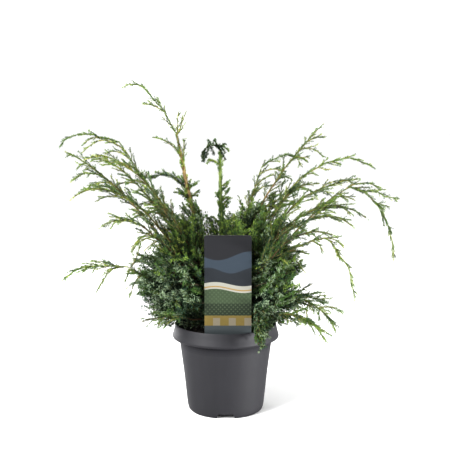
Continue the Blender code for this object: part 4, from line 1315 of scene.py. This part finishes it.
# ---- card ---------------------------------------------------------------------------
def card_material():
    """A plain print of this part's own: hills over a dark field, a pale wavy
    band, and a green field of small diamonds over a foot of stripes."""
    n = Nodes("card_print_front")
    co = n.node("ShaderNodeTexCoord")
    sep = n.node("ShaderNodeSeparateXYZ")
    n.link(co.outputs["Object"], sep.inputs[0])
    x, z = sep.outputs[0], sep.outputs[2]
    u = n.math("DIVIDE", n.math("SUBTRACT", x, CARD_X - CARD_W / 2), CARD_W)        # 0..1
    v = n.math("DIVIDE", n.math("SUBTRACT", z, 0.156), CARD_TOP - 0.156)            # 0..1 above the rim

    def printed(r, g, b):
        c = linear(r, g, b)
        return tuple(0.215 * v ** 0.92 for v in c[:3]) + (1.0,)

    dark, slate = printed(50, 51, 56), printed(76, 90, 104)
    cream, ochre = printed(216, 215, 201), printed(206, 170, 110)

    def wave(freq, phase, amp, level):
        s = n.math("SINE", n.math("ADD", n.math("MULTIPLY", u, freq), phase))
        return n.math("ADD", n.math("MULTIPLY", s, amp), level)

    def over(line):
        return n.math("GREATER_THAN", v, line)

    # green field with small diamonds
    slant = n.math("ADD", n.math("MULTIPLY", u, 11.0), n.math("MULTIPLY", v, 23.0))
    other = n.math("SUBTRACT", n.math("MULTIPLY", u, 11.0), n.math("MULTIPLY", v, 23.0))
    cell = n.math("MULTIPLY", n.math("GREATER_THAN", n.math("FRACT", slant), 0.52),
                  n.math("GREATER_THAN", n.math("FRACT", other), 0.52))
    colour = n.mix(over(0.30), printed(60, 76, 54), printed(86, 106, 76))
    colour = n.mix(n.math("MULTIPLY", cell, 0.8), colour, printed(110, 128, 96))
    # foot: broad stripes of ochre, beige and slate
    colour = n.mix(n.math("LESS_THAN", v, 0.175), colour, printed(176, 153, 82))
    step = n.math("GREATER_THAN", n.math("FRACT", n.math("MULTIPLY", u, 3.0)), 0.55)
    beige = n.math("MULTIPLY", step, n.math("LESS_THAN", v, 0.150))
    colour = n.mix(beige, colour, printed(190, 178, 152))
    colour = n.mix(n.math("LESS_THAN", v, 0.070), colour, printed(102, 111, 114))
    # dark field with two slate bands of hills
    upper = n.mix(over(wave(6.4, 1.1, 0.030, 0.640)), printed(54, 60, 67), slate)
    upper = n.mix(over(wave(4.6, 3.4, 0.045, 0.790)), upper, dark)
    colour = n.mix(over(wave(5.2, 0.4, 0.022, 0.500)), colour, upper)
    # the pale band with its fine gold line
    band = n.math("MULTIPLY", over(wave(5.2, 0.4, 0.022, 0.430)),
                  n.math("LESS_THAN", v, wave(5.2, 0.4, 0.022, 0.500)))
    colour = n.mix(band, colour, cream)
    line = n.math("MULTIPLY", over(wave(5.2, 0.4, 0.022, 0.448)),
                  n.math("LESS_THAN", v, wave(5.2, 0.4, 0.022, 0.460)))
    colour = n.mix(line, colour, ochre)
    n.base(colour)
    n.bsdf.inputs["Roughness"].default_value = 0.42
    n.bsdf.inputs["Specular IOR Level"].default_value = 0.20
    return n.mat


def rounded_card(name, half, top, corner, foot, y0, y1, mats):
    out = []
    steps = 8
    for sx in (1, -1):
        for i in range(steps + 1):
            a = math.pi / 2 * i / steps
            a = a if sx > 0 else math.pi / 2 - a
            out.append((sx * (half - corner + corner * math.cos(a)), top - corner + corner * math.sin(a)))
    out += [(-half, foot + 0.002), (-half + 0.002, foot), (-0.012, foot - 0.004), (-0.012, 0.116),
            (-0.0042, 0.106), (0.0042, 0.106), (0.012, 0.116), (0.012, foot - 0.004),
            (half - 0.002, foot), (half, foot + 0.002)]
    bm = bmesh.new()
    front = [bm.verts.new((CARD_X + x, y0, z)) for x, z in out]
    back = [bm.verts.new((CARD_X + x, y1, z)) for x, z in out]
    f = bm.faces.new(front)
    b = bm.faces.new(back[::-1])
    f.material_index = 0
    b.material_index = 1
    for i in range(len(out)):
        j = (i + 1) % len(out)
        q = bm.faces.new((front[i], back[i], back[j], front[j]))
        q.material_index = 1
    bmesh.ops.recalc_face_normals(bm, faces=bm.faces)
    bmesh.ops.triangulate(bm, faces=[f, b], quad_method="BEAUTY", ngon_method="BEAUTY")
    mesh = D.meshes.new(name)
    bm.to_mesh(mesh)
    bm.free()
    for m in mats:
        mesh.materials.append(m)
    obj = D.objects.new(name, mesh)
    scene.collection.objects.link(obj)
    return obj


def card_back_material():
    n = Nodes("card_print_back")
    co = n.node("ShaderNodeTexCoord")
    fine = n.node("ShaderNodeTexNoise", in_Scale=300.0, in_Detail=3.0)
    n.link(co.outputs["Object"], fine.inputs["Vector"])
    n.base(n.mix(n.math("MULTIPLY", fine.outputs[0], 0.3), (0.33, 0.32, 0.30, 1.0), (0.27, 0.26, 0.245, 1.0)))
    n.bsdf.inputs["Roughness"].default_value = 0.5
    return n.mat


card = rounded_card("card_printed", CARD_W / 2, CARD_TOP, 0.0045, CARD_FOOT,
                    CARD_Y - 0.0004, CARD_Y + 0.0004, [card_material(), card_back_material()])
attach(card, "root")
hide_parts("plant_card")

# =============================================================================
# floor, light and camera
# =============================================================================
n = Nodes("studio_floor")
n.base((0.73, 0.73, 0.73, 1.0))
n.bsdf.inputs["Roughness"].default_value = 0.9
n.bsdf.inputs["Specular IOR Level"].default_value = 0.1
mesh = D.meshes.new("floor")
bm = bmesh.new()
bmesh.ops.create_grid(bm, x_segments=1, y_segments=1, size=40.0)
bm.to_mesh(mesh)
bm.free()
mesh.materials.append(n.mat)
floor = D.objects.new("floor", mesh)
floor.location = (0, 0, -0.0005)
scene.collection.objects.link(floor)

world = D.worlds.new("studio")
scene.world = world
world.use_nodes = True
bg = world.node_tree.nodes["Background"]
bg.inputs[0].default_value = (1.0, 1.0, 1.0, 1.0)
bg.inputs[1].default_value = 1.40


def area(name, place, aim, size, power):
    light = D.lights.new(name, "AREA")
    light.energy = power
    light.size = size
    obj = D.objects.new(name, light)
    obj.location = place
    obj.rotation_euler = (Vector(aim) - Vector(place)).to_track_quat("-Z", "Y").to_euler()
    scene.collection.objects.link(obj)
    return obj


area("key", (-1.85, -1.5, 1.30), (0, 0, 0.30), 1.1, 205)
area("back", (-1.6, 2.0, 0.36), (0, 0, 0.30), 0.5, 45)
area("side", (2.2, -1.0, 0.19), (0, 0, 0.20), 0.34, 185)

cam = D.cameras.new("camera")
cam.sensor_width = 36.0
cam.lens = 36.0 * 855.0 / 450.0
cam.clip_start, cam.clip_end = 0.05, 60.0
eye = D.objects.new("camera", cam)
eye.location = (-0.0012, -1.5, 0.5136)
eye.rotation_euler = (math.radians(90.0 - 6.93), 0.0, 0.0)
scene.collection.objects.link(eye)
scene.camera = eye

scene.view_settings.view_transform = "Standard"
scene.view_settings.look = "None"
scene.view_settings.exposure = 0.0
scene.view_settings.gamma = 0.80
